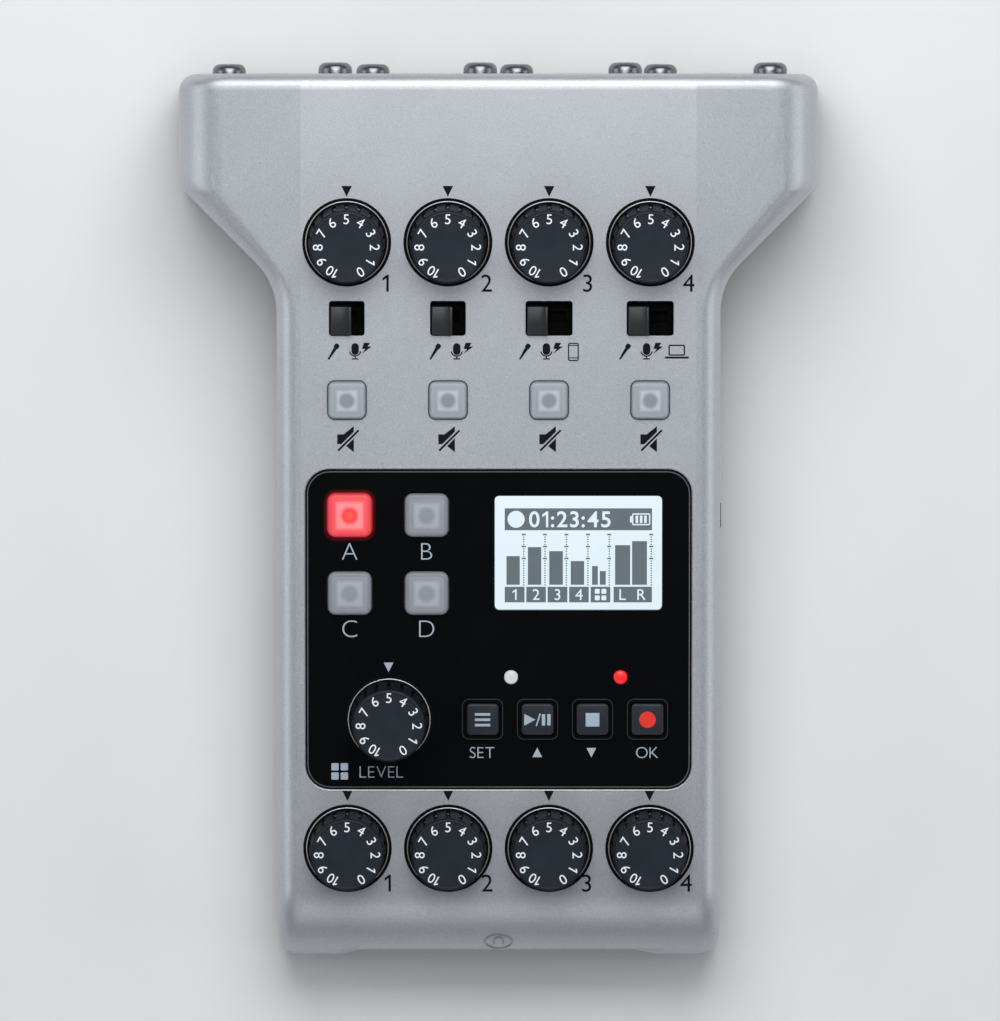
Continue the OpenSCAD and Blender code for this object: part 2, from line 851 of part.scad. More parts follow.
// Knob cap with a hollow underside, and the shaft that it is pushed on
knob_lift = 0.4;
module knob(surface) {
    foot = surface - seat_d + knob_lift;
    top = foot + knob_h;
    shaft_cover = 2;
    shaft_top = top - shaft_cover;
    skirt = 1.3;
    hub_r = shaft_r + skirt;
    hub_lift = 0.6;
    cap_t = 1.6;
    ceiling = top - cap_t;
    flute_top = top - 2 * knob_bevel;
    color("#2e343b")
        difference() {
            rotate_extrude()
                polygon([[0, top], [knob_top_r - knob_bevel, top], [knob_top_r, top - knob_bevel],
                    [knob_r, foot], [knob_r - skirt, foot], [knob_r - skirt, ceiling], [hub_r, ceiling],
                    [hub_r, foot + hub_lift], [shaft_r + seat_gap / 2, foot + hub_lift],
                    [shaft_r + seat_gap / 2, shaft_top], [0, shaft_top]]);
            for (k = [0:flutes - 1])
                rotate([0, 0, (k + 0.5) * 360 / flutes])
                    translate([knob_top_r - flute_d, -flute_w / 2, foot - past])
                        cube([knob_r, flute_w, flute_top - foot + past]);
        }
    color("#8a8d91")
        rod(shaft_r, pot_floor + stop_gap, shaft_top - seat_gap);
}

pot_base = 1.5;
pot_floor = pot_base - board_drop;
pot_top = -wall - 2 * slide_gap;
module potentiometers() {
    places = concat(
        [for (k = channels, v = [gain_row, headphone_row]) [k * channel_pitch, v]],
        [[pad_knob_u, pad_knob_v]]);
    color("#6f747a")
        on_face()
            for (p = places)
                translate(p)
                    difference() {
                        block(pot_w, pot_w, -board_drop, pot_top);
                        rod(shaft_r + slide_gap, pot_floor, 0);
                    }
}

module gain_knob(channel) {
    on_face(channels[channel] * channel_pitch, gain_row)
        knob(0);
}

module headphone_knob(channel) {
    on_face(channels[channel] * channel_pitch, headphone_row)
        knob(0);
}

module pad_level_knob() {
    on_face(pad_knob_u, pad_knob_v)
        knob(panel_proud);
}

// Slide switch: a cap with a grip ridge, whose stem runs in the groove of the switch below
lever_w = 1.6;
groove_d = 1.6;
switch_top = -wall - stop_gap;
module input_switch(channel) {
    foot = switch_top + slide_gap;
    ridge_w = 0.6;
    ridge_h = 0.4;
    color("#141516")
        on_face(channels[channel] * channel_pitch - travels[channel] / 2, switch_row) {
            translate([0, (stop_gap - slider_back) / 2, 0]) {
                block(slider_w, slider_l, foot, slider_rise);
                translate([slider_w / 2 - ridge_w, 0, 0])
                    block(ridge_w, slider_l, slider_rise - past, slider_rise + ridge_h);
            }
            block(lever_w, lever_w, switch_top - groove_d + stop_gap, foot);
        }
}

// Bodies of the slide switches: four on the control board and the power switch on the main board
power_depth = 3.8;
power_body_l = 10.6;
power_lever_w = 1.4;
module slide_switches() {
    end_wall = 1.6;
    switch_l = 7;
    color("#202123") {
        on_face()
            for (i = [0:3])
                translate([channels[i] * channel_pitch, switch_row, 0])
                    difference() {
                        block(slot_w(travels[i]) + 2 * end_wall, switch_l, -board_drop, switch_top);
                        block(lever_w + travels[i] + 2 * slide_gap, lever_w + 2 * slide_gap,
                            switch_top - groove_d, 0);
                    }
        on_side(1, power_y, 0)
            difference() {
                translate([-power_body_l / 2, -wall - power_depth, board_top])
                    cube([power_body_l, power_depth, 2 * (power_z - board_top)]);
                translate([-(power_lever_w + power_travel) / 2 - slide_gap, -wall - groove_d,
                    power_z - power_lever_w / 2 - slide_gap])
                    cube([power_lever_w + power_travel + 2 * slide_gap, far, power_lever_w + 2 * slide_gap]);
            }
    }
}

// Push button: a cap with a flange that stops it under the plate, and a stem
flange_w = 0.8;
flange_t = 0.8;
tact_top = tact_h - board_drop;
stem_bite = 0.4;
module push_button(w, r, under, rise) {
    flange_top = under - stop_gap;
    flange_low = flange_top - flange_t;
    slab(w, w, r, flange_low, rise);
    slab(w + 2 * flange_w, w + 2 * flange_w, r, flange_low, flange_top);
    rod(stem_r, tact_top - stem_bite, flange_low);
}

module mute_button(channel) {
    color("#a9adb3")
        on_face(channels[channel] * channel_pitch, mute_row)
            push_button(mute_w, mute_corner, -wall, button_rise);
}

module pad_button(column, row) {
    color(column + row == 0 ? "#f04a4e" : "#979ba1")
        on_face(pad_u + column * pad_pitch_u, pad_v - row * pad_pitch_v)
            push_button(pad_w, pad_corner, panel_under, panel_proud + button_rise);
}

module key_button(place) {
    color("#24272b")
        on_face(key_u + place * key_pitch, key_v)
            push_button(key_w, key_corner, panel_under, panel_proud + button_rise);
}

module tact_switches() {
    stem_room = stem_bite + press + stop_gap;
    color("#1d1e20")
        on_face() {
            for (k = channels)
                translate([k * channel_pitch, mute_row, 0])
                    tact_switch(stem_room);
            at_pads()
                tact_switch(stem_room);
            at_keys()
                tact_switch(stem_room);
        }
}

module tact_switch(stem_room) {
    difference() {
        block(tact_w, tact_w, -board_drop, tact_top);
        rod(stem_r + slide_gap, tact_top - stem_room, 0);
    }
}

// Board under the face that carries the controls
board_edge = 0.5;
module control_board() {
    half = 1.5 * channel_pitch + pot_w / 2 + board_edge;
    front = headphone_row - pot_w / 2 - board_edge;
    rear = gain_row + pot_w / 2 + board_edge / 4;
    color("#1f5a36")
        difference() {
            on_face()
                difference() {
                    translate([-half, front, board_low])
                        cube([2 * half, rear - front, board_t]);
                    at_posts()
                        rod(stake_r + seat_gap, board_low - past, 0);
                }
            at_bosses()
                rod(boss_r + stop_gap, 0, far);
        }
}

// Two boards on the bottom, one behind the battery bay and one in front of it
board_rear_gap = 10.6;
board_inset = wall + seat_gap + lip_t + stop_gap;
module floor_board(front, rear) {
    color("#1f5a36")
        difference() {
            translate([0, 0, board_z])
                linear_extrude(board_t)
                    intersection() {
                        plan(board_inset);
                        translate([-far / 2, front])
                            square([far, rear - front]);
                    }
            at_bosses()
                rod(screw_r + slide_gap, 0, far);
        }
}

module main_board() {
    floor_board(bay_rear, y_rear - board_rear_gap);
}

module jack_board() {
    floor_board(y_front, bay_front);
}

// Microphone socket: a housing with a flange and a latch slot, and an insert whose core carries the contacts
flange_gap = 0.5;
socket_flange_l = 29.6;
socket_flange_t = 2;
socket_boss_r = 2.9;
socket_boss_l = 6;
contact_r = 1.3;
contact_ring_r = 4.2;
contact_angles = [150, 30, 270];
latch_l = 13;
latch_proud = 0.1;
latch_low = sleeve_r + seat_gap;
socket_back = -wall - barrel_l;

module at_contacts() {
    for (a = contact_angles)
        translate([contact_ring_r * cos(a), 0, contact_ring_r * sin(a)])
            children();
}

module socket_housing() {
    flange_y = -wall - socket_flange_t;
    rib_w = 2.2;
    rib_sink = 0.5;
    difference() {
        union() {
            rod_y(barrel_r, socket_back, 0);
            translate([-(socket_pitch - flange_gap) / 2, flange_y, -socket_flange_l / 2])
                cube([socket_pitch - flange_gap, socket_flange_t, socket_flange_l]);
            at_socket_screws()
                rod_y(socket_boss_r, flange_y - socket_boss_l, flange_y + socket_flange_t / 2);
        }
        difference() {
            rod_y(sleeve_r, socket_back - past, past);
            translate([-rib_w / 2, -sleeve_l + seat_gap, -sleeve_r - rib_sink])
                cube([rib_w, sleeve_l - past, sleeve_r - core_r + rib_sink - seat_gap]);
        }
        translate([-latch_w / 2 - slide_gap, -latch_l - latch_travel - stop_gap, sleeve_r - past])
            cube([latch_w + 2 * slide_gap, far, barrel_r]);
        at_socket_screws()
            rod_y(socket_screw_r + seat_gap / 2, flange_y - socket_boss_l - past, 0);
    }
}

module socket_insert() {
    core_sink = 0.6;
    difference() {
        union() {
            rod_y(core_r, socket_back, -core_sink);
            rod_y(sleeve_r - seat_gap / 2, socket_back, -sleeve_l);
        }
        at_contacts()
            rod_y(contact_r + slide_gap, socket_back - past, past);
    }
}

module xlr_socket(channel) {
    color("#191a1c")
        on_rear(channels[channel] * socket_pitch, socket_z) {
            socket_housing();
            socket_insert();
        }
}

// Latch tab above the groove, pushed in to free a plug
module xlr_latch(channel) {
    color("#b7babd")
        on_rear(channels[channel] * socket_pitch, socket_z)
            translate([-latch_w / 2, -latch_l, latch_low])
                cube([latch_w, latch_l + latch_proud, latch_t]);
}

// Contact sleeves, with tails down to the main board
module xlr_contacts() {
    tail_w = 0.8;
    tip_depth = 3;
    sleeve_wall = 0.3;
    color("#c9b98a")
        for (k = channels, a = contact_angles)
            let (z = socket_z + contact_ring_r * sin(a))
                on_rear(k * socket_pitch + contact_ring_r * cos(a), z)
                    difference() {
                        union() {
                            rod_y(contact_r, socket_back - tail_w, -tip_depth);
                            translate([0, socket_back - tail_w / 2, 0])
                                block(tail_w, tail_w, board_top - z, 0);
                        }
                        rod_y(contact_r - sleeve_wall, -sleeve_l, 0);
                    }
}

socket_screw_l = 8;
module xlr_screws() {
    crown = 1.3;
    bend = [for (a = [0:15:90]) [head_r - crown * (1 - cos(a)), head_h - crown * (1 - sin(a))]];
    color("#43464a")
        at_sockets()
            at_socket_screws()
                difference() {
                    union() {
                        rotate([-90, 0, 0])
                            rotate_extrude()
                                polygon(concat([[0, 0], [head_r, 0]], bend, [[0, head_h]]));
                        rod_y(socket_screw_r, -socket_screw_l, past);
                    }
                    translate([0, head_h - past, 0])
                        rotate([-90, 45, 0])
                            cross_recess(head_r, 2 * past);
                }
}

// Jack for a 3.5 mm plug: a housing behind the wall and a round nose in it
module jack(setback) {
    mouth = 0.4;
    difference() {
        union() {
            rod_y(jack_nose_r, -setback - past, 0);
            translate([-jack_w / 2, -jack_l - past, -jack_w / 2])
                cube([jack_w, jack_l + past - setback, jack_w]);
        }
        rod_y(jack_r, -jack_l, past);
        translate([0, -mouth, 0])
            rotate([-90, 0, 0])
                cylinder(r1 = jack_r, r2 = jack_r + 2 * mouth, h = 2 * mouth);
    }
}

module headphone_jack(channel) {
    color("#17181a")
        translate([channels[channel] * jack_pitch, y_front + recess_d, jack_z])
            rotate([0, 0, 180])
                jack(wall - recess_d);
}

module phone_jack() {
    color("#17181a")
        on_side(-1, phone_y, jack_z)
            jack(wall);
}

// Digital port: a flat tube with a tongue
module usb_port() {
    usb_l = 8.5;
    usb_wall = 0.3;
    usb_corner = usb_h / 2 - seat_gap / 2;
    tongue_w = 6.6;
    tongue_t = 0.7;
    tongue_sink = 1;
    back_t = 1;
    sink = 0.5;
    color("#b9bcc0")
        on_side(-1, usb_y, usb_z)
            rotate([90, 0, 0]) {
                difference() {
                    slab(usb_w, usb_h, usb_corner, sink, sink + usb_l);
                    slab(usb_w - 2 * usb_wall, usb_h - 2 * usb_wall, usb_corner - usb_wall,
                        sink - past, sink + usb_l - back_t);
                }
                block(tongue_w, tongue_t, sink + tongue_sink, sink + usb_l - back_t / 2);
            }
}

// Card cage behind a slot in the right wall
module card_socket() {
    cage_l = 27;
    cage_wall = 0.3;
    back_t = 1;
    color("#b9bcc0")
        on_side(1, card_y, card_z)
            rotate([90, 0, 0])
                difference() {
                    block(card_w, card_h, wall, wall + cage_l);
                    block(card_w - 2 * cage_wall, card_h - 2 * cage_wall, 0, wall + cage_l - back_t);
                }
}

// Power switch cap in its slot, at the off end
module power_switch() {
    color("#141516")
        on_side(1, power_y, power_z)
            translate([power_travel / 2, 0, 0]) {
                translate([-power_w / 2, -wall + slide_gap, -power_h / 2])
                    cube([power_w, wall - slide_gap + power_rise, power_h]);
                translate([-power_lever_w / 2, stop_gap - wall - groove_d, -power_lever_w / 2])
                    cube([power_lever_w, groove_d, power_lever_w]);
            }
}

module battery_cells() {
    nub_r = 2.75;
    nub_l = 1.3;
    color("#4c6b8a")
        for (s = sides)
            translate([0, bay_y + s * cell_pitch / 2, cell_z])
                rotate([0, s * 90, 0]) {
                    rod(cell_r, -cell_l / 2, cell_l / 2 - nub_l);
                    rod(nub_r, cell_l / 2 - nub_l - past, cell_l / 2);
                }
}

// Spring at one end of each cell and a dimple at the other, on plates in the bay's end walls
module battery_contacts() {
    contact_w = 11;
    plate_low = inner_z + stop_gap;
    dimple_r = 2;
    spring_r = 5.2;
    end = cell_l / 2 + seat_gap;
    color("#c4c6c8")
        for (s = sides)
            translate([0, bay_y + s * cell_pitch / 2, 0]) {
                for (i = sides)
                    translate([i * (bay_w / 2 - plate_t / 2 - seat_gap / 2), 0, 0])
                        block(plate_t, contact_w, plate_low, bay_wall_top);
                translate([0, 0, cell_z])
                    rotate([0, s * 90, 0]) {
                        rod(dimple_r, end, bay_w / 2 - plate_t / 2);
                        translate([0, 0, plate_t / 2 - bay_w / 2])
                            cylinder(r1 = spring_r, r2 = dimple_r, h = bay_w / 2 - plate_t / 2 - end);
                    }
            }
}

top_shell();
bottom_shell();
control_panel();
display_lens();
display_module();
status_lamps();
gain_knob(0);  // gain_knob_1
gain_knob(1);  // gain_knob_2
gain_knob(2);  // gain_knob_3
gain_knob(3);  // gain_knob_4
headphone_knob(0);  // headphone_knob_1
headphone_knob(1);  // headphone_knob_2
headphone_knob(2);  // headphone_knob_3
headphone_knob(3);  // headphone_knob_4
pad_level_knob();
input_switch(0);  // input_switch_1
input_switch(1);  // input_switch_2
input_switch(2);  // input_switch_3
input_switch(3);  // input_switch_4
mute_button(0);  // mute_button_1
mute_button(1);  // mute_button_2
mute_button(2);  // mute_button_3
mute_button(3);  // mute_button_4
pad_button(0, 0);  // pad_button_a
pad_button(1, 0);  // pad_button_b
pad_button(0, 1);  // pad_button_c
pad_button(1, 1);  // pad_button_d
key_button(0);  // menu_button
key_button(1);  // play_button
key_button(2);  // stop_button
key_button(3);  // record_button
power_switch();
battery_cover();
battery_cells();
battery_contacts();
control_board();
main_board();
jack_board();
potentiometers();
slide_switches();
tact_switches();
xlr_socket(0);  // xlr_socket_1
xlr_socket(1);  // xlr_socket_2
xlr_socket(2);  // xlr_socket_3
xlr_socket(3);  // xlr_socket_4
xlr_latch(0);  // xlr_latch_1
xlr_latch(1);  // xlr_latch_2
xlr_latch(2);  // xlr_latch_3
xlr_latch(3);  // xlr_latch_4
xlr_contacts();
xlr_screws();
headphone_jack(0);  // headphone_jack_1
headphone_jack(1);  // headphone_jack_2
headphone_jack(2);  // headphone_jack_3
headphone_jack(3);  // headphone_jack_4
phone_jack();
usb_port();
card_socket();
rubber_feet();
case_screws();
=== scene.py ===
"""Looks of a portable podcast recorder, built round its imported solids.

Shapes are worked out in millimetres, and each finished mesh is in metres in the frame of the solids:
+X to the right, +Y to the rear, +Z up. Most pieces are placed across and along the sloping face.
"""
import logging
import math
from dataclasses import dataclass
from enum import Enum
from functools import lru_cache
from typing import Any, Callable, Iterable, NamedTuple, Optional, Sequence, Union

import bmesh
import bpy
from mathutils import Matrix, Vector


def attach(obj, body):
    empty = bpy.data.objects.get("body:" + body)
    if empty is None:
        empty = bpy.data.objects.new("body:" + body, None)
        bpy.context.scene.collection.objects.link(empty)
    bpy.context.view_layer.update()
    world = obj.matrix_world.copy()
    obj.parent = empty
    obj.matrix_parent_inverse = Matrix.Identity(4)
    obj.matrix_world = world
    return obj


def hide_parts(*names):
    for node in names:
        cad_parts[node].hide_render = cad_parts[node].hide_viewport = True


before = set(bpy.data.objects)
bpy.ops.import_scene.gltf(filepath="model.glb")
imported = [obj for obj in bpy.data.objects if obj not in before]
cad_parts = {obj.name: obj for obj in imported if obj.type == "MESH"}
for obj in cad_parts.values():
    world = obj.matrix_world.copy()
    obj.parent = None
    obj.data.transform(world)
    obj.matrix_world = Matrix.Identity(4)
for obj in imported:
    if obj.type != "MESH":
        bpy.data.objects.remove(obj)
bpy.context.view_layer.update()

LOG = logging.getLogger("recorder")
MM = 0.001
Point = tuple[float, float]
Triple = tuple[float, float, float]
Outline = tuple[Point, ...]
BMesh = bmesh.types.BMesh
Piece = bpy.types.Object
Socket = bpy.types.NodeSocket

CASE = "case"
CHANNELS: tuple[float, ...] = (-1.5, -0.5, 0.5, 1.5)
CHANNEL_PITCH = 17.7
PANEL_SIZE: Triple = (67.6, 56.5, 4.2)
PANEL_MIDDLE = -20.95
PANEL_PROUD = 0.2
LIT_PAD: Point = (-26.1, -0.7)


def srgb(red: int, green: int, blue: int) -> Triple:
    """Turns a colour as seen on a screen, each part from 0 to 255, into a linear one."""
    parts = (value / 255 for value in (red, green, blue))
    return tuple(part / 12.92 if part <= 0.04045 else ((part + 0.055) / 1.055) ** 2.4 for part in parts)


class Slot(Enum):
    """Material slots of the record."""

    SILVER = "silver_paint"
    CASE = "black_case"
    PANEL = "black_panel"
    KNOB = "knob_plastic"
    SLIDER = "slider_plastic"
    SILICONE = "button_silicone"
    LIT = "lit_silicone"
    KEY = "key_plastic"
    GLASS = "display_glass"
    DISPLAY = "display_frame"
    LAMP = "lamp_clear"
    DARK_STEEL = "dark_steel"
    STEEL = "port_steel"
    SOCKET = "socket_plastic"
    RUBBER = "foot_rubber"


# Materials


class Graph:
    """Lays out the nodes of one material round its main shader."""

    SQUARE_BLEND = 0.05

    def __init__(self, name: str) -> None:
        """Starts a material.

        Args:
            name: Name of the material.
        """
        self.material = bpy.data.materials.new(name)
        self.material.use_nodes = True
        self.tree = self.material.node_tree
        self.shader = self.tree.nodes["Principled BSDF"]

    def fill(self, socket: Socket, source: Any) -> None:
        """Links a socket to a source, or sets its value.

        Args:
            socket: The input.
            source: A socket, a number, a vector or a colour without its alpha.
        """
        if isinstance(source, Socket):
            self.tree.links.new(source, socket)
        elif socket.type == "RGBA":
            socket.default_value = (*source, 1.0)
        else:
            socket.default_value = source

    def feed(self, name: str, source: Any) -> None:
        """Fills an input of the main shader."""
        self.fill(self.shader.inputs[name], source)

    def node(self, kind: str, inputs: Optional[dict[Union[str, int], Any]] = None,
             **settings: Any) -> bpy.types.Node:
        """Adds a node.

        Args:
            kind: Type of the node.
            inputs: Values or source sockets for its inputs, by name or number.
            **settings: Attributes of the node.

        Returns:
            The new node.
        """
        node = self.tree.nodes.new(kind)
        for key, value in settings.items():
            setattr(node, key, value)
        for key, value in (inputs or {}).items():
            self.fill(node.inputs[key], value)
        return node

    def noise(self, scale: float, detail: float = 2.0, roughness: float = 0.5,
              stretch: Optional[Triple] = None) -> Socket:
        """Adds a noise pattern on the place on the object.

        Args:
            scale: Patches per metre.
            detail: Number of finer layers.
            roughness: Weight of the finer layers.
            stretch: Scale along each axis, for a drawn-out pattern.

        Returns:
            The pattern's strength from 0 to 1.
        """
        place = self.node("ShaderNodeTexCoord").outputs["Object"]
        if stretch:
            place = self.node("ShaderNodeMapping", {"Vector": place, "Scale": stretch}).outputs["Vector"]
        inputs = {"Vector": place, "Scale": scale, "Detail": detail, "Roughness": roughness}
        return self.node("ShaderNodeTexNoise", inputs).outputs["Fac"]

    def ramp(self, source: Socket, stops: Sequence[tuple[float, Triple]]) -> Socket:
        """Turns a strength into a colour.

        Args:
            source: The strength.
            stops: Strengths and the colours there.

        Returns:
            The colour.
        """
        node = self.node("ShaderNodeValToRGB", {"Fac": source})
        marks = node.color_ramp.elements
        while len(marks) < len(stops):
            marks.new(0.5)
        for mark, (at, colour) in zip(marks, stops):
            mark.position = at
            mark.color = (*colour, 1.0)
        return node.outputs["Color"]

    def remap(self, source: Socket, start: float, end: float, low: float, high: float,
              curve: str = "LINEAR") -> Socket:
        """Maps the values between two ends to those between two others."""
        inputs = {"Value": source, "From Min": start, "From Max": end, "To Min": low, "To Max": high}
        return self.node("ShaderNodeMapRange", inputs, interpolation_type=curve).outputs["Result"]

    def mix(self, share: Socket, first: Socket, second: Socket) -> Socket:
        """Blends two colours, whose sockets are numbers 6 and 7 of the node."""
        return self.node("ShaderNodeMix", {0: share, 6: first, 7: second}, data_type="RGBA").outputs[2]

    def math(self, operation: str, first: Any, second: Any = 0.0) -> Socket:
        """Adds one sum of two values."""
        return self.node("ShaderNodeMath", {0: first, 1: second}, operation=operation).outputs["Value"]

    def hypotenuse(self, first: Socket, second: Socket) -> Socket:
        """Gives the long side of a right-angled triangle from its two others."""
        squares = (self.math("MULTIPLY", side, side) for side in (first, second))
        return self.math("SQRT", self.math("ADD", *squares))

    def offsets(self) -> list[Socket]:
        """Gives the distances from a button's middle on its own map, in shares of its width.

        Returns:
            The distances across and along.
        """
        spot = self.node("ShaderNodeUVMap", uv_map="button").outputs["UV"]
        parts = self.node("ShaderNodeSeparateXYZ", {"Vector": spot}).outputs
        return [self.math("ABSOLUTE", self.math("SUBTRACT", parts[axis], 0.5)) for axis in "XY"]

    def from_middle(self) -> tuple[Socket, Socket]:
        """Gives the distance from a button's middle in two ways.

        Returns:
            The distances along squares and along circles.
        """
        across, along = self.offsets()
        edge = self.math("SMOOTH_MAX", across, along)
        edge.node.inputs[2].default_value = self.SQUARE_BLEND
        return edge, self.hypotenuse(across, along)

    def from_corners(self, straight: float) -> Socket:
        """Gives the distance from a button's middle along squares that are round past a straight share."""
        past = [self.math("MAXIMUM", self.math("SUBTRACT", away, straight), 0.0) for away in self.offsets()]
        return self.math("ADD", self.hypotenuse(*past), straight)

    def bump(self, height: Socket, strength: float, depth: float) -> None:
        """Raises the surface by a pattern, depth in metres."""
        inputs = {"Height": height, "Strength": strength, "Distance": depth}
        self.feed("Normal", self.node("ShaderNodeBump", inputs).outputs["Normal"])


@dataclass(frozen=True)
class Finish:
    """A moulded surface with a mottled colour, a fine grain and uneven gloss; grain per metre, depth in metres."""

    name: str
    colour: Triple
    roughness: float
    metallic: float = 0.0
    mottle: float = 0.12
    grain: float = 2200.0
    depth: float = 0.00004
    strength: float = 0.25
    uneven: float = 0.06
    coat: float = 0.0
    specular: float = 0.5

    def tint(self, share: float) -> Triple:
        """Gives the colour made lighter or darker by a share."""
        return tuple(part * share for part in self.colour)

    def tones(self, graph: Graph, pattern: Socket, low: float, high: float) -> Socket:
        """Gives the colour mottled by a pattern, dark at its low strength and light at its high one."""
        return graph.ramp(pattern, ((low, self.tint(1 - self.mottle)), (high, self.tint(1 + self.mottle))))

    def gloss(self, graph: Graph, pattern: Socket) -> None:
        """Makes the gloss uneven by a pattern."""
        low, high = self.roughness - self.uneven, self.roughness + self.uneven
        graph.feed("Roughness", graph.remap(pattern, 0.3, 0.7, low, high))

    @lru_cache(maxsize=None)
    def material(self) -> bpy.types.Material:
        """Makes the material at the first call, and gives the same one later.

        Returns:
            The material.
        """
        graph = Graph(self.name)
        self.lay(graph)
        return graph.material

    def lay(self, graph: Graph) -> None:
        """Lays out patches of tint and gloss and a fine grain.

        Args:
            graph: Nodes of the new material.
        """
        graph.feed("Base Color", self.tones(graph, graph.noise(self.grain / 6, 4.0, 0.6), 0.25, 0.75))
        self.gloss(graph, graph.noise(self.grain / 15, 3.0))
        graph.feed("Metallic", self.metallic)
        graph.feed("Coat Weight", self.coat)
        graph.feed("Specular IOR Level", self.specular)
        graph.bump(graph.noise(self.grain, 3.0, 0.6), self.strength, self.depth)


@dataclass(frozen=True)
class FlakePaint(Finish):
    """Silver paint with fine metal flakes under a satin surface."""

    flake: float = 5200.0
    cloud: float = 60.0
    cloud_share: float = 0.2
    coat_roughness: float = 0.3

    def lay(self, graph: Graph) -> None:
        """Lays out cloudy tint, single flakes and a fine orange-peel surface.

        Args:
            graph: Nodes of the new material.
        """
        flakes = graph.math("MULTIPLY", graph.noise(self.flake, 1.0, 0.4), 1 - self.cloud_share)
        clouds = graph.math("MULTIPLY", graph.noise(self.cloud, 3.0, 0.55), self.cloud_share)
        stops = ((0.3, self.tint(1 - self.mottle)), (0.52, self.colour), (0.72, self.tint(1 + self.mottle)))
        graph.feed("Base Color", graph.ramp(graph.math("ADD", flakes, clouds), stops))
        self.gloss(graph, graph.noise(self.flake / 2, 2.0))
        graph.feed("Metallic", self.metallic)
        graph.feed("Coat Weight", self.coat)
        graph.feed("Coat Roughness", self.coat_roughness)
        graph.bump(graph.noise(self.grain, 2.0, 0.5), self.strength, self.depth)


@dataclass(frozen=True)
class Brushed(Finish):
    """Metal with fine drawn-out lines along one axis."""

    stretch: Triple = (1.0, 12.0, 12.0)

    def lay(self, graph: Graph) -> None:
        """Lays out lines in the tint, the gloss and the surface.

        Args:
            graph: Nodes of the new material.
        """
        lines = graph.noise(self.grain, 3.0, 0.6, self.stretch)
        graph.feed("Base Color", self.tones(graph, lines, 0.3, 0.7))
        self.gloss(graph, lines)
        graph.feed("Metallic", self.metallic)
        graph.bump(lines, self.strength, self.depth)


@dataclass(frozen=True)
class LightPipe(Finish):
    """Milky silicone over a small lamp, on its own map: a bright square and a disc, a fine step drawn as a painted
    highlight line and a painted shade line, and a rim painted darker towards its edge as shade.
    """

    square: Triple = (0.5, 0.5, 0.5)
    disc: Triple = (0.4, 0.4, 0.4)
    core: Optional[Triple] = None
    disc_r: float = 0.19
    square_r: float = 0.29
    step_r: float = 0.37
    step: float = 0.025
    blur: float = 0.045
    speckle: float = 0.04
    glow: float = 0.0
    milk: float = 0.15
    milk_reach: float = 0.6

    def lay(self, graph: Graph) -> None:
        """Lays out the step as a painted highlight and shade line, the rim painted darker towards its edge as shade,
        the square and the disc, each with soft edges, and a satin skin.

        Args:
            graph: Nodes of the new material.
        """
        edge, away = graph.from_middle()
        speckle = graph.math("MULTIPLY", graph.math("SUBTRACT", graph.noise(self.grain, 2.0), 0.5), self.speckle)
        # These stops paint a highlight line and then a shade line at the step, and shade darkening towards the
        # rounded edge.
        stops = ((self.square_r - self.blur, self.square), (self.square_r + self.blur, self.colour),
                 (self.step_r, self.tint(1.12)), (self.step_r + self.step, self.tint(0.94)), (0.5, self.tint(0.72)))
        rim = graph.ramp(graph.math("ADD", edge, speckle), stops)
        ends = self.disc_r - 1.4 * self.blur, self.disc_r + 1.4 * self.blur
        inside = graph.remap(graph.math("ADD", away, speckle), *ends, 1.0, 0.0, "SMOOTHSTEP")
        heart = graph.ramp(away, ((0.02, self.core or self.disc), (self.disc_r, self.disc)))
        shade = graph.mix(inside, rim, heart)
        graph.feed("Base Color", shade)
        self.gloss(graph, graph.noise(self.grain / 8, 2.0))
        graph.feed("Subsurface Weight", self.milk)
        graph.feed("Subsurface Radius", (self.milk_reach * MM,) * 3)
        if self.glow:
            graph.feed("Emission Color", shade)
            graph.feed("Emission Strength", self.glow)
        graph.bump(graph.noise(self.grain, 2.0), self.strength, self.depth)


@dataclass(frozen=True)
class Halo(Finish):
    """A surface round a lit button, with painted light from the button that fades away from it on the piece's own
    map.
    """

    light: Triple = (1.0, 0.0, 0.0)
    straight: float = 0.32
    start: float = 0.5
    end: float = 0.6
    glow: float = 0.3

    def lay(self, graph: Graph) -> None:
        """Lays out the plain surface, then the fading painted light over it.

        Args:
            graph: Nodes of the new material.
        """
        super().lay(graph)
        near = graph.remap(graph.from_corners(self.straight), self.start, self.end, 1.0, 0.0)
        graph.feed("Emission Color", self.light)
        graph.feed("Emission Strength", graph.math("MULTIPLY", graph.math("MULTIPLY", near, near), self.glow))


@dataclass(frozen=True)
class Lit(Finish):
    """A surface that is lit from behind, with a faint unevenness."""

    glow: float = 1.0
    body: float = 0.1

    def lay(self, graph: Graph) -> None:
        """Lays out an uneven glow over a dark body.

        Args:
            graph: Nodes of the new material.
        """
        clouds = graph.noise(self.grain, 3.0, 0.6)
        graph.feed("Base Color", self.tint(self.body))
        graph.feed("Emission Color", self.tones(graph, clouds, 0.2, 0.8))
        graph.feed("Emission Strength", self.glow)
        self.gloss(graph, clouds)


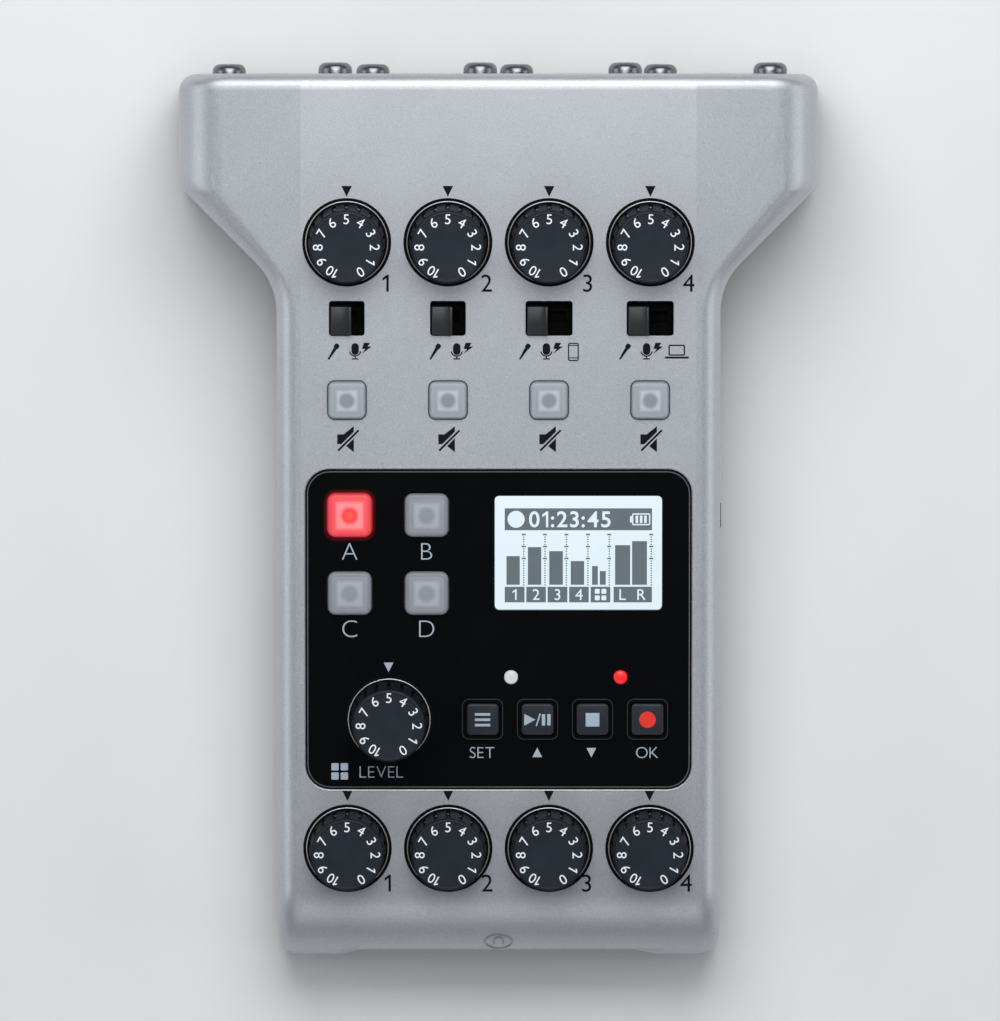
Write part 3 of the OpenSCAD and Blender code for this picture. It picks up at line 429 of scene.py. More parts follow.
SILVER = FlakePaint("silver flake paint", srgb(186, 189, 195), 0.44, metallic=0.62, mottle=0.14, grain=2600.0,
                    depth=0.00003, strength=0.18, coat=0.12)
# The raised sign is painted a little darker than the silver round it.
SIGN_GREY = FlakePaint("darker silver raised sign", srgb(164, 167, 173), 0.5, metallic=0.5, mottle=0.14, grain=2600.0,
                       depth=0.00003, strength=0.18)
BLACK_CASE = Finish("black grained case", srgb(38, 39, 42), 0.62, grain=1500.0, depth=0.00012, strength=0.5)
PANEL_BLACK = Finish("polished black panel", srgb(7, 8, 10), 0.16, mottle=0.2, grain=900.0, depth=0.00001,
                     strength=0.06, uneven=0.05, specular=0.12)
# A grey line that paints the highlight on the panel's edge.
PANEL_EDGE_HIGHLIGHT = Finish("painted panel edge highlight", srgb(84, 87, 92), 0.4, mottle=0.2, grain=900.0, depth=0.00001)
# Painted red light spilling from the lit pad onto the black panel.
PANEL_RED_SPILL = Halo("panel with painted red light round lit pad", srgb(7, 8, 10), 0.16, grain=900.0, depth=0.00001, specular=0.12,
                  light=srgb(235, 10, 14), start=0.51, end=0.62, glow=0.34)
# Knob sides: a duller gloss and a darker colour that paints shade on the flanks.
KNOB_SIDE_SHADE = Finish("knob sides with painted shade", srgb(25, 28, 33), 0.6, grain=1500.0, depth=0.00006, strength=0.3, specular=0.1)
KNOB_SLATE = Finish("slate knob", srgb(36, 42, 50), 0.5, grain=1800.0, strength=0.2, specular=0.14)
SLIDER_BLACK = Finish("black slider", srgb(32, 34, 37), 0.42, grain=2400.0)
# Black for gaps and hidden parts, also used as painted shade in the knob seats' grooves.
BLACK_AND_PAINTED_SHADE = Finish("black gaps, hidden parts and painted shade", srgb(6, 6, 7), 0.8, grain=1200.0, strength=0.3, specular=0.1)
KEY_DARK = Finish("dark key", srgb(38, 42, 49), 0.4, grain=2000.0, strength=0.15, specular=0.3)
# A grey line that paints the highlight on the top edge of each key's rim.
KEY_RIM_HIGHLIGHT = Finish("painted key rim highlight", srgb(38, 39, 42), 0.45, mottle=0.25, grain=900.0, depth=0.00001, specular=0.3)
PRINT_DARK = Finish("dark print", srgb(16, 20, 26), 0.7, grain=3500.0, depth=0.00001, specular=0.1)
PRINT_WHITE = Finish("white print", srgb(236, 240, 244), 0.6, mottle=0.04, grain=3500.0, depth=0.00001)
PRINT_BLUE = Finish("pale blue print", srgb(165, 180, 195), 0.55, mottle=0.05, grain=3500.0, depth=0.00001)
PRINT_RED = Finish("red print", srgb(232, 44, 28), 0.5, mottle=0.06, grain=3500.0, depth=0.00001)
LINING_GREY = Finish("pale lining", srgb(118, 122, 128), 0.6, grain=1800.0, strength=0.2, specular=0.3)
# The buttons carry a painted highlight and shade line at the step and painted shade towards the edge.
MUTE_GREY = LightPipe("milky mute button", srgb(154, 160, 166), 0.5, square=srgb(188, 192, 199), grain=2500.0,
                      disc=srgb(138, 143, 151), disc_r=0.2, square_r=0.27, step_r=0.43, depth=0.00003)
PAD_GREY = LightPipe("milky pad", srgb(142, 145, 153), 0.5, square=srgb(170, 173, 180), grain=2500.0,
                     disc=srgb(144, 147, 155), depth=0.00003)
PAD_RED = LightPipe("lit pad", srgb(216, 66, 74), 0.5, square=srgb(240, 122, 126), grain=2500.0,
                    disc=srgb(242, 34, 40), core=srgb(255, 74, 62), square_r=0.31, depth=0.00003, glow=0.5)
SCREEN_LIT = Lit("lit screen", srgb(226, 241, 249), 0.22, mottle=0.03, grain=70.0, uneven=0.03, glow=0.92)
SCREEN_DARK = Lit("screen segments", srgb(106, 116, 123), 0.22, mottle=0.04, grain=400.0, uneven=0.03, glow=0.85)
LAMP_WHITE = Lit("white lamp", srgb(226, 229, 230), 0.3, mottle=0.04, grain=600.0, glow=0.72)
LAMP_RED = Lit("red lamp", srgb(250, 40, 44), 0.3, mottle=0.05, grain=600.0, glow=0.95)
DARK_NICKEL = Brushed("black nickel screw", srgb(122, 125, 130), 0.26, metallic=0.9, mottle=0.15, grain=700.0,
                      depth=0.00002, strength=0.2)
# Builds the dark gap and the painted highlight line at the edge round the panel, and the painted red light round the
# lit pad.
STEEL = Brushed("satin steel", srgb(178, 180, 184), 0.32, metallic=0.95, grain=600.0, depth=0.00002, strength=0.2)
BRASS = Brushed("bright brass", srgb(205, 178, 110), 0.28, metallic=0.95, grain=600.0, depth=0.00001)
SOCKET_BLACK = Finish("black socket", srgb(30, 31, 33), 0.5, grain=1700.0, depth=0.00006, strength=0.35)
BOARD_GREEN = Finish("green solder mask", srgb(26, 84, 48), 0.4, mottle=0.3, grain=1400.0, strength=0.2)
COMPONENT_GREY = Finish("grey component", srgb(96, 100, 104), 0.5, grain=1500.0)
CELL_BLUE = Brushed("plain cell wrap", srgb(70, 98, 130), 0.35, metallic=0.3, grain=300.0, strength=0.1,
                    depth=0.00001)
FOOT_BLACK = Finish("matt rubber", srgb(30, 30, 31), 0.85, grain=1300.0, depth=0.0001, strength=0.5)
FLOOR_PALE = Finish("pale floor", (0.8, 0.8, 0.8), 0.8, mottle=0.01, grain=300.0, strength=0.02)


# Shapes

SAME = 1e-4
LEAST_CORNER = 0.02


def vertices(geometry: Iterable[Any]) -> list[bmesh.types.BMVert]:
    """Picks the vertices out of mixed geometry."""
    return [part for part in geometry if isinstance(part, bmesh.types.BMVert)]


def edges(geometry: Iterable[Any]) -> list[bmesh.types.BMEdge]:
    """Picks the edges out of mixed geometry."""
    return [part for part in geometry if isinstance(part, bmesh.types.BMEdge)]


def quarter(steps: int) -> list[Point]:
    """Gives the cosine and sine of each angle from 0 to 90 degrees in even steps."""
    angles = (math.radians(90 / steps * step) for step in range(steps + 1))
    return [(math.cos(angle), math.sin(angle)) for angle in angles]


def round_off(shape: BMesh, geometry: Sequence[Any], radius: float, segments: int, affect: str = "EDGES") -> None:
    """Rounds edges or, if asked, corners."""
    bmesh.ops.bevel(shape, geom=geometry, offset=radius, offset_type="OFFSET", segments=segments, profile=0.5,
                    affect=affect, material=-1)


def outward(shape: BMesh) -> BMesh:
    """Turns all faces of a closed shape outwards."""
    bmesh.ops.recalc_face_normals(shape, faces=shape.faces)
    return shape


def plate(width: float, length: float, corner: float, low: float, high: float, soften: float = 0.0,
          steps: int = 6) -> BMesh:
    """Makes a plate with round corners and, if asked, a rounded upper edge.

    Args:
        width: Size along X.
        length: Size along Y.
        corner: Radius of the upright corners.
        low: Height of the underside.
        high: Height of the upper side.
        soften: Radius of the upper edge.
        steps: Faces round a corner.

    Returns:
        The closed shape.
    """
    shape = bmesh.new()
    size = Matrix.Diagonal((width, length, high - low, 1))
    bmesh.ops.create_cube(shape, size=1, matrix=Matrix.Translation((0, 0, (low + high) / 2)) @ size)
    if corner:
        round_off(shape, [e for e in shape.edges if abs(e.verts[0].co.z - e.verts[1].co.z) > SAME], corner, steps)
    if soften:
        round_off(shape, [e for e in shape.edges if all(abs(v.co.z - high) < SAME for v in e.verts)], soften, 4)
    return shape


def turned(profile: Sequence[Point], steps: int = 48, closed: bool = False) -> BMesh:
    """Turns a profile round the Z axis.

    Args:
        profile: Radius and height of each point.
        steps: Faces round the axis.
        closed: Whether the last point joins the first.

    Returns:
        The turned shape.
    """
    shape = bmesh.new()
    line = [shape.verts.new((radius, 0, height)) for radius, height in profile]
    pairs = list(zip(line, line[1:])) + ([(line[-1], line[0])] if closed else [])
    bmesh.ops.spin(shape, geom=line + [shape.edges.new(pair) for pair in pairs], cent=(0, 0, 0), axis=(0, 0, 1),
                   angle=2 * math.pi, steps=steps, use_merge=True)
    bmesh.ops.remove_doubles(shape, verts=shape.verts, dist=SAME)
    return outward(shape)


def raise_up(shape: BMesh, height: float) -> BMesh:
    """Gives flat faces a thickness upwards.

    Args:
        shape: The faces, which become part of the new shape.
        height: The thickness.

    Returns:
        The closed shape.
    """
    grown = bmesh.ops.extrude_face_region(shape, geom=shape.faces[:])["geom"]
    bmesh.ops.translate(shape, vec=(0, 0, height), verts=vertices(grown))
    return outward(shape)


def outline(points: Iterable[Point], low: float, high: float) -> BMesh:
    """Makes a plate of any outline.

    Args:
        points: Its corners in order.
        low: Height of the underside.
        high: Height of the upper side.

    Returns:
        The closed shape.
    """
    shape = bmesh.new()
    shape.faces.new([shape.verts.new((x, y, low)) for x, y in points])
    return raise_up(shape, high - low)


def disc(radius: float, low: float, high: float, steps: int = 32) -> BMesh:
    """Makes a round plate.

    Args:
        radius: Its radius.
        low: Height of the underside.
        high: Height of the upper side.
        steps: Faces round it.

    Returns:
        The closed shape.
    """
    shape = bmesh.new()
    place = Matrix.Translation((0, 0, low))
    bmesh.ops.create_circle(shape, cap_ends=True, segments=steps, radius=radius, matrix=place)
    return raise_up(shape, high - low)


def arc(radius: float, width: float, start: float, end: float, low: float, high: float, steps: int = 20) -> BMesh:
    """Makes a flat bow of even width.

    Args:
        radius: Radius of its middle line.
        width: Width across the line.
        start: Angle of one end in degrees.
        end: Angle of the other end in degrees.
        low: Height of the underside.
        high: Height of the upper side.
        steps: Faces along the bow.

    Returns:
        The bow, or a ring where the two angles are a turn apart.
    """
    shape = bmesh.new()
    ends = [shape.verts.new((radius + side * width / 2, 0, low)) for side in (-1, 1)]
    edge = shape.edges.new(ends)
    bmesh.ops.rotate(shape, verts=ends, cent=(0, 0, 0), matrix=Matrix.Rotation(math.radians(start), 3, "Z"))
    bmesh.ops.spin(shape, geom=[*ends, edge], cent=(0, 0, 0), axis=(0, 0, 1), angle=math.radians(end - start),
                   steps=steps, use_merge=abs(end - start) >= 360)
    return raise_up(shape, high - low)


def loop(shape: BMesh, width: float, length: float, corner: float, height: float) -> list[bmesh.types.BMEdge]:
    """Adds a closed line round a rectangle with round corners.

    Args:
        shape: What the line is added to.
        width: Size along X.
        length: Size along Y.
        corner: Radius of the corners.
        height: Height of the line.

    Returns:
        The edges of the line.
    """
    half_w, half_l = width / 2, length / 2
    places = ((-half_w, -half_l), (half_w, -half_l), (half_w, half_l), (-half_w, half_l))
    before = set(shape.edges)
    face = shape.faces.new([shape.verts.new((x, y, height)) for x, y in places])
    round_off(shape, list(face.verts), corner, 6, "VERTICES")
    line = [e for e in shape.edges if e not in before]
    bmesh.ops.delete(shape, geom=[f for f in shape.faces if all(e in line for e in f.edges)], context="FACES_ONLY")
    return line


def grown(line: Triple, by: float) -> Triple:
    """Gives the width, length and corner radius of a line that runs at a distance outside another."""
    width, length, corner = line
    return width + 2 * by, length + 2 * by, max(corner + by, LEAST_CORNER)


def frame_plate(outer: Triple, inner: Triple, low: float, high: float) -> BMesh:
    """Makes a flat frame between two lines.

    Args:
        outer: Width, length and corner radius of its outer line.
        inner: The same of its inner line.
        low: Height of the underside.
        high: Height of the upper side.

    Returns:
        The closed shape.
    """
    shape = bmesh.new()
    bmesh.ops.bridge_loops(shape, edges=loop(shape, *outer, low) + loop(shape, *inner, low))
    return raise_up(shape, high - low)


def bead(lines: Iterable[tuple[float, float, float, float]]) -> BMesh:
    """Makes a ring of any section.

    Args:
        lines: Width, length, corner radius and height of each line round it.

    Returns:
        The closed ring.
    """
    shape = bmesh.new()
    rings = [loop(shape, *line) for line in lines]
    for first, second in zip(rings, rings[1:] + rings[:1]):
        bmesh.ops.bridge_loops(shape, edges=first + second)
    return outward(shape)


def moved(shape: BMesh, x: float = 0.0, y: float = 0.0, turn: float = 0.0) -> BMesh:
    """Turns a shape round Z, then moves it.

    Args:
        shape: The shape.
        x: How far it moves along X.
        y: How far it moves along Y.
        turn: Angle in degrees.

    Returns:
        The same shape.
    """
    place = Matrix.Translation((x, y, 0)) @ Matrix.Rotation(math.radians(turn), 4, "Z")
    bmesh.ops.transform(shape, matrix=place, verts=shape.verts)
    return shape


def joined(shapes: Iterable[BMesh]) -> BMesh:
    """Puts several shapes into one mesh.

    Args:
        shapes: The shapes, which are used up.

    Returns:
        The whole.
    """
    whole = bmesh.new()
    for shape in shapes:
        mesh = bpy.data.meshes.new("bench")
        shape.to_mesh(mesh)
        shape.free()
        whole.from_mesh(mesh)
        bpy.data.meshes.remove(mesh)
    return whole


CAPITAL = 0.682
LETTER_GAP = 0.17
FIGURE_ONE: Outline = ((0.23, 0.0), (0.37, 0.0), (0.37, 1.0), (0.27, 1.0), (0.0, 0.8), (0.0, 0.64), (0.23, 0.8))


@lru_cache(maxsize=None)
def glyph(letter: str, thin: float) -> bpy.types.Mesh:
    """Cuts one letter or digit of the built-in typeface, one unit thick.

    Args:
        letter: A letter, digit or colon.
        thin: What comes off each side of the strokes, in units of the typeface.

    Returns:
        The mesh, in units of the typeface.
    """
    curve = bpy.data.curves.new("lettering", "FONT")
    curve.body = letter
    curve.extrude = 0.5
    curve.offset = -thin
    curve.resolution_u = 5
    holder = bpy.data.objects.new("lettering", curve)
    bpy.context.scene.collection.objects.link(holder)
    mesh = bpy.data.meshes.new_from_object(holder.evaluated_get(bpy.context.evaluated_depsgraph_get()))
    bpy.data.objects.remove(holder)
    bpy.data.curves.remove(curve)
    return mesh


def figure(letter: str, thin: float) -> BMesh:
    """Makes one letter or digit, one unit high; the figure one has a flag, which the typeface lacks.

    Args:
        letter: A letter, digit or colon.
        thin: What comes off each side of the strokes, in units of the typeface.

    Returns:
        The closed shape.
    """
    if letter == "1":
        return outline(FIGURE_ONE, -0.5, 0.5)
    shape = bmesh.new()
    shape.from_mesh(glyph(letter, thin))
    bmesh.ops.remove_doubles(shape, verts=shape.verts, dist=1e-5)
    unit = 1 / (CAPITAL - 2 * thin)
    place = Matrix.Diagonal((unit, unit, 1, 1)) @ Matrix.Translation((0, -thin, 0))
    bmesh.ops.transform(shape, matrix=place, verts=shape.verts)
    return shape


def lettering(text: str, height: float, low: float, high: float, thin: float = 0.0) -> BMesh:
    """Makes flat letters or digits, centred.

    Args:
        text: Capitals, digits or colons.
        height: Height of the capitals.
        low: Height of the underside.
        high: Height of the upper side.
        thin: What comes off each side of the strokes, in units of the typeface.

    Returns:
        The letters as closed shapes.
    """
    shapes, reach = [], 0.0
    for letter in text:
        shape = figure(letter, thin)
        sides = [v.co.x for v in shape.verts]
        shapes.append(moved(shape, reach - min(sides)))
        reach += max(sides) - min(sides) + LETTER_GAP
    whole = joined(shapes)
    place = (Matrix.Translation((0, 0, (low + high) / 2)) @ Matrix.Diagonal((height, height, high - low, 1))
             @ Matrix.Translation(((LETTER_GAP - reach) / 2, -0.5, 0)))
    bmesh.ops.transform(whole, matrix=place, verts=whole.verts)
    return outward(whole)


def chart(shape: BMesh, width: float) -> BMesh:
    """Lays a map over a button.

    Args:
        shape: The button or what lies round it.
        width: Width over which the map runs from 0 to 1.

    Returns:
        The same shape.
    """
    layer = shape.loops.layers.uv.new("button")
    for face in shape.faces:
        for corner in face.loops:
            corner[layer].uv = (corner.vert.co.x / width + 0.5, corner.vert.co.y / width + 0.5)
    return shape


# Placing and finishing


@dataclass(frozen=True)
class SlopingFace:
    """The control face, which slopes down to the front."""

    height: float = 33.0
    tilt: float = 6.5

    def at(self, across: float = 0.0, along: float = 0.0, above: float = 0.0) -> Matrix:
        """Gives the place of a point across, along and above the face, in millimetres."""
        return (Matrix.Translation((0, 0, self.height)) @ Matrix.Rotation(math.radians(self.tilt), 4, "X")
                @ Matrix.Translation((across, along, above)))

    def slope(self) -> float:
        """Gives the rise of the face for each millimetre to the rear."""
        return math.tan(math.radians(self.tilt))

    def up(self) -> Vector:
        """Gives the direction that the face looks in."""
        return Vector((0.0, -math.sin(math.radians(self.tilt)), math.cos(math.radians(self.tilt))))


FACE = SlopingFace()
WELD = 2e-7
FLAT_ANGLE = 0.4
LEAST_EDGE_ANGLE = 40.0
CREASE_REACH = 0.02


def cast(name: str, shape: BMesh) -> Piece:
    """Turns a shape into an object of the scene.

    Args:
        name: Name of the object.
        shape: Its mesh, which is used up.

    Returns:
        The object.
    """
    mesh = bpy.data.meshes.new(name)
    shape.to_mesh(mesh)
    shape.free()
    piece = bpy.data.objects.new(name, mesh)
    bpy.context.scene.collection.objects.link(piece)
    return piece


def dress(piece: Piece, finish: Finish, body: str, stands_for: Sequence[str], angle: float) -> Piece:
    """Gives a new object its finish, body and shading, and reports it.

    Args:
        piece: The object.
        finish: Its finish.
        body: Body that it moves with.
        stands_for: Solids that it replaces.
        angle: Edges sharper than this many degrees stay sharp.

    Returns:
        The same object.
    """
    piece.data.materials.clear()
    piece.data.materials.append(finish.material())
    piece.data.polygons.foreach_set("use_smooth", [True] * len(piece.data.polygons))
    piece.data.set_sharp_from_angle(angle=math.radians(angle))
    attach(piece, body)
    if stands_for:
        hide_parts(*stands_for)
    LOG.info("%s: %s, on %s", piece.name, finish.name, body)
    return piece


def install(name: str, shape: BMesh, finish: Finish, body: str = CASE, place: Optional[Matrix] = None,
            stands_for: Sequence[str] = (), angle: float = 35.0) -> Piece:
    """Turns a shape into a finished piece of the recorder.

    Args:
        name: Name of the piece.
        shape: Its mesh in millimetres, which is used up.
        finish: Its finish.
        body: Body that it moves with.
        place: Where it goes, in millimetres.
        stands_for: Solids that it replaces.
        angle: Edges sharper than this many degrees stay sharp.

    Returns:
        The piece.
    """
    to_metres = Matrix.Scale(MM, 4)
    bmesh.ops.transform(shape, matrix=to_metres @ (place or Matrix.Identity(4)), verts=shape.verts)
    return dress(cast(name, shape), finish, body, stands_for, angle)


def refine(node: str, finish: Finish, body: str = CASE, edge: float = 0.15,
           creases: Sequence[float] = (), angle: float = 32.0) -> Piece:
    """Makes a cleaner copy of a solid, with softened edges, that stands for it.

    Args:
        node: The solid.
        finish: Its finish.
        body: Body that it moves with.
        edge: Width of the softened edges in millimetres.
        creases: Places along X in millimetres where shallow creases stay sharp.
        angle: Edges sharper than this many degrees stay sharp.

    Returns:
        The piece.
    """
    shape = bmesh.new()
    shape.from_mesh(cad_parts[node].data)
    bmesh.ops.remove_doubles(shape, verts=shape.verts, dist=WELD)
    bmesh.ops.dissolve_limit(shape, angle_limit=math.radians(FLAT_ANGLE), verts=shape.verts, edges=shape.edges)
    piece = dress(cast(node + "_skin", shape), finish, body, (node,), angle)
    for line in piece.data.edges:
        ends = [piece.data.vertices[i].co.x / MM for i in line.vertices]
        if any(all(abs(end - crease) < CREASE_REACH for end in ends) for crease in creases):
            line.use_edge_sharp = True
    soft = piece.modifiers.new("softened edges", "BEVEL")
    soft.width = edge * MM
    soft.segments = 2
    soft.limit_method = "ANGLE"
    soft.angle_limit = math.radians(max(angle, LEAST_EDGE_ANGLE))
    even = piece.modifiers.new("even shading", "WEIGHTED_NORMAL")
    even.keep_sharp = True
    return piece


def reshade(piece: Piece, belongs: Callable[[Vector, list[Vector]], bool],
            normal: Callable[[Vector], Vector]) -> None:
    """Settles the modifiers of a piece and shades some of its faces from the surface that they lie on.

    Args:
        piece: The piece.
        belongs: Tells from a face's direction and its corners in millimetres whether it lies on the surface.
        normal: Gives the direction of the surface at a place in millimetres.
    """
    graph = bpy.context.evaluated_depsgraph_get()
    settled = piece.evaluated_get(graph)
    mesh = bpy.data.meshes.new_from_object(settled, preserve_all_data_layers=True, depsgraph=graph)
    piece.modifiers.clear()
    piece.data = mesh
    normals = [corner.vector.copy() for corner in mesh.corner_normals]
    for face in mesh.polygons:
        spots = [mesh.vertices[i].co / MM for i in face.vertices]
        if belongs(face.normal, spots):
            for corner, spot in zip(face.loop_indices, spots):
                normals[corner] = normal(spot)
    mesh.normals_split_custom_set(normals)


def paint(finish: Finish, *nodes: str) -> None:
    """Gives solids that keep their shape a finish.

    Args:
        finish: The finish.
        *nodes: The solids.
    """
    for node in nodes:
        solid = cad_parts[node]
        solid.data.materials.clear()
        solid.data.materials.append(finish.material())
        LOG.info("%s: %s", node, finish.name)


class Marks:
    """Collects flat printed shapes and puts them on the sloping face as one thin piece."""

    LOW = -0.02
    HIGH = 0.025

    def __init__(self) -> None:
        """Starts with an empty sheet."""
        self.shapes: list[BMesh] = []

    def add(self, shape: BMesh, x: float, y: float, turn: float = 0.0) -> None:
        """Adds a shape at a place on the sheet, turned by an angle in degrees."""
        self.shapes.append(moved(shape, x, y, turn))

    def word(self, text: str, x: float, y: float, height: float, thin: float = 0.015) -> None:
        """Adds letters or digits."""
        self.add(lettering(text, height, self.LOW, self.HIGH, thin), x, y)

    def area(self, points: Iterable[Point], x: float = 0.0, y: float = 0.0) -> None:
        """Adds a filled outline."""
        self.add(outline(points, self.LOW, self.HIGH), x, y)

    def box(self, x: float, y: float, width: float, length: float, corner: float = 0.0, turn: float = 0.0,
            steps: int = 3) -> None:
        """Adds a filled rectangle round its middle."""
        self.add(plate(width, length, corner, self.LOW, self.HIGH, steps=steps), x, y, turn)

    def span(self, left: float, near: float, right: float, far: float) -> None:
        """Adds a filled rectangle between two corners."""
        self.box((left + right) / 2, (near + far) / 2, right - left, far - near)

    def dot(self, x: float, y: float, radius: float) -> None:
        """Adds a filled circle."""
        self.add(disc(radius, self.LOW, self.HIGH), x, y)

    def bow(self, x: float, y: float, radius: float, width: float, start: float, end: float) -> None:
        """Adds a curved line."""
        self.add(arc(radius, width, start, end, self.LOW, self.HIGH), x, y)

    def ring_box(self, x: float, y: float, width: float, length: float, corner: float, line: float) -> None:
        """Adds the line round a rectangle."""
        outer = (width, length, corner)
        self.add(frame_plate(outer, grown(outer, -line), self.LOW, self.HIGH), x, y)

    def four_boxes(self, x: float, y: float, offset: float, width: float, corner: float) -> None:
        """Adds four small squares round a middle."""
        for side, end in ((-1, -1), (-1, 1), (1, -1), (1, 1)):
            self.box(x + side * offset, y + end * offset, width, width, corner)

    def put(self, name: str, finish: Finish, slot: Slot, place: Matrix, body: str = CASE) -> None:
        """Prints the sheet at a place."""
        install(name, joined(self.shapes), finish, body, place)


# The recorder


@dataclass
class Shells:
    """The silver upper shell and the black lower shell, with what is fixed to their outsides."""

    crease: float = 34.6
    lip: float = 0.42
    lip_gap: float = 0.08
    foot_r: float = 4.5
    foot_h: float = 1.5
    foot_seat: float = 0.6
    foot_bend: float = 0.45
    foot_dish: float = 0.12
    foot_places: Outline = ((-29.9, -69.6), (29.9, -69.6), (-47.0, 67.6), (47.0, 67.6))
    nose_y: float = -66.6
    nose_l: float = 12.0
    nose_h: float = 11.0
    nose_reach: float = 0.06
    nose_slack: float = 0.01
    nose_end: float = 0.9999
    sign_y: float = -76.2
    sign_heights: Point = (-0.2, 0.16)
    sign_size: Triple = (2.4, 1.25, 1.0)

    def build(self) -> None:
        """Builds the shells, the lip round the panel, the feet and the raised sign."""
        shell = refine("top_shell", SILVER, creases=(-self.crease, self.crease))
        reshade(shell, self.on_nose, lambda spot: self.nose_normal(spot.y))
        refine("bottom_shell", BLACK_CASE)
        place = FACE.at(0, PANEL_MIDDLE)
        install("panel_opening_lip", bead(self.lip_lines()), SILVER, place=place, angle=60)
        self.feet()
        self.sign()

    def lip_lines(self) -> list[tuple[float, float, float, float]]:
        """Gives the lines of the lip round the panel's opening, from its inner foot over its crest.

        Returns:
            Width, length, corner radius and height of each line.
        """
        width, length, corner = PANEL_SIZE
        lines = []
        for share, rounding, height in ((0.0, self.lip_gap, -0.35), (0.0, self.lip_gap, -0.1),
                                        (0.3, self.lip_gap, 0.045), (1.0, self.lip, 0.01), (1.0, self.lip, -0.35)):
            wider = 2 * (self.lip_gap + share * self.lip)
            lines.append((width + wider, length + wider, corner + rounding, height))
        return lines

    def feet(self) -> None:
        """Builds the four rubber feet with rounded edges."""
        top = self.foot_h + self.foot_seat
        bend = [(self.foot_r - self.foot_bend * (1 - c), self.foot_bend * (1 - s)) for c, s in reversed(quarter(6))]
        profile = [(0, self.foot_dish), (self.foot_r - 1.4, self.foot_dish), (self.foot_r - 1.2, 0), *bend,
                   (self.foot_r, top), (0, top)]
        feet = joined(moved(turned(profile), x, y) for x, y in self.foot_places)
        install("rubber_feet_round", feet, FOOT_BLACK, stands_for=("rubber_feet",))

    def nose_z(self, y: float) -> float:
        """Gives the height of the middle of the rounded nose.

        Args:
            y: Place along the case.

        Returns:
            The height of the outside there.
        """
        back = max(0.0, self.nose_y - y)
        fall = self.nose_l - math.sqrt(max(0.0, self.nose_l ** 2 - back ** 2))
        return FACE.height + y * FACE.slope() - self.nose_h / self.nose_l * fall

    def nose_normal(self, y: float) -> Vector:
        """Gives the direction that the middle of the rounded nose faces.

        Args:
            y: Place along the case.

        Returns:
            The direction there.
        """
        back = min(max(0.0, self.nose_y - y), self.nose_l * self.nose_end)
        fall = self.nose_h / self.nose_l * back / math.sqrt(self.nose_l ** 2 - back ** 2)
        return Vector((0.0, -FACE.slope() - fall, 1.0)).normalized()

    def on_nose(self, _: Vector, spots: list[Vector]) -> bool:
        """Tells whether the corners of a face lie on the middle of the rounded nose."""
        return all(spot.y < self.nose_y + self.nose_slack and abs(spot.x) < self.crease + self.nose_slack
                   and abs(self.nose_z(spot.y) - spot.z) < self.nose_reach for spot in spots)

    def sign(self) -> None:
        """Builds the faint raised headphone sign on the nose."""
        ring = arc(1.0, 0.12, 0, 360, *self.sign_heights, 48)
        bmesh.ops.scale(ring, vec=self.sign_size, verts=ring.verts)
        band = arc(0.85, 0.16, 10, 170, *self.sign_heights)
        cups = [moved(plate(0.3, 0.62, 0.1, *self.sign_heights, steps=3), side * 0.82, -0.2) for side in (-1, 1)]
        whole = joined([ring, moved(band, 0, -0.05), *cups])
        for vert in whole.verts:
            vert.co.y += self.sign_y
            vert.co.z += self.nose_z(vert.co.y)
        install("headphone_sign", whole, SIGN_GREY, angle=50)


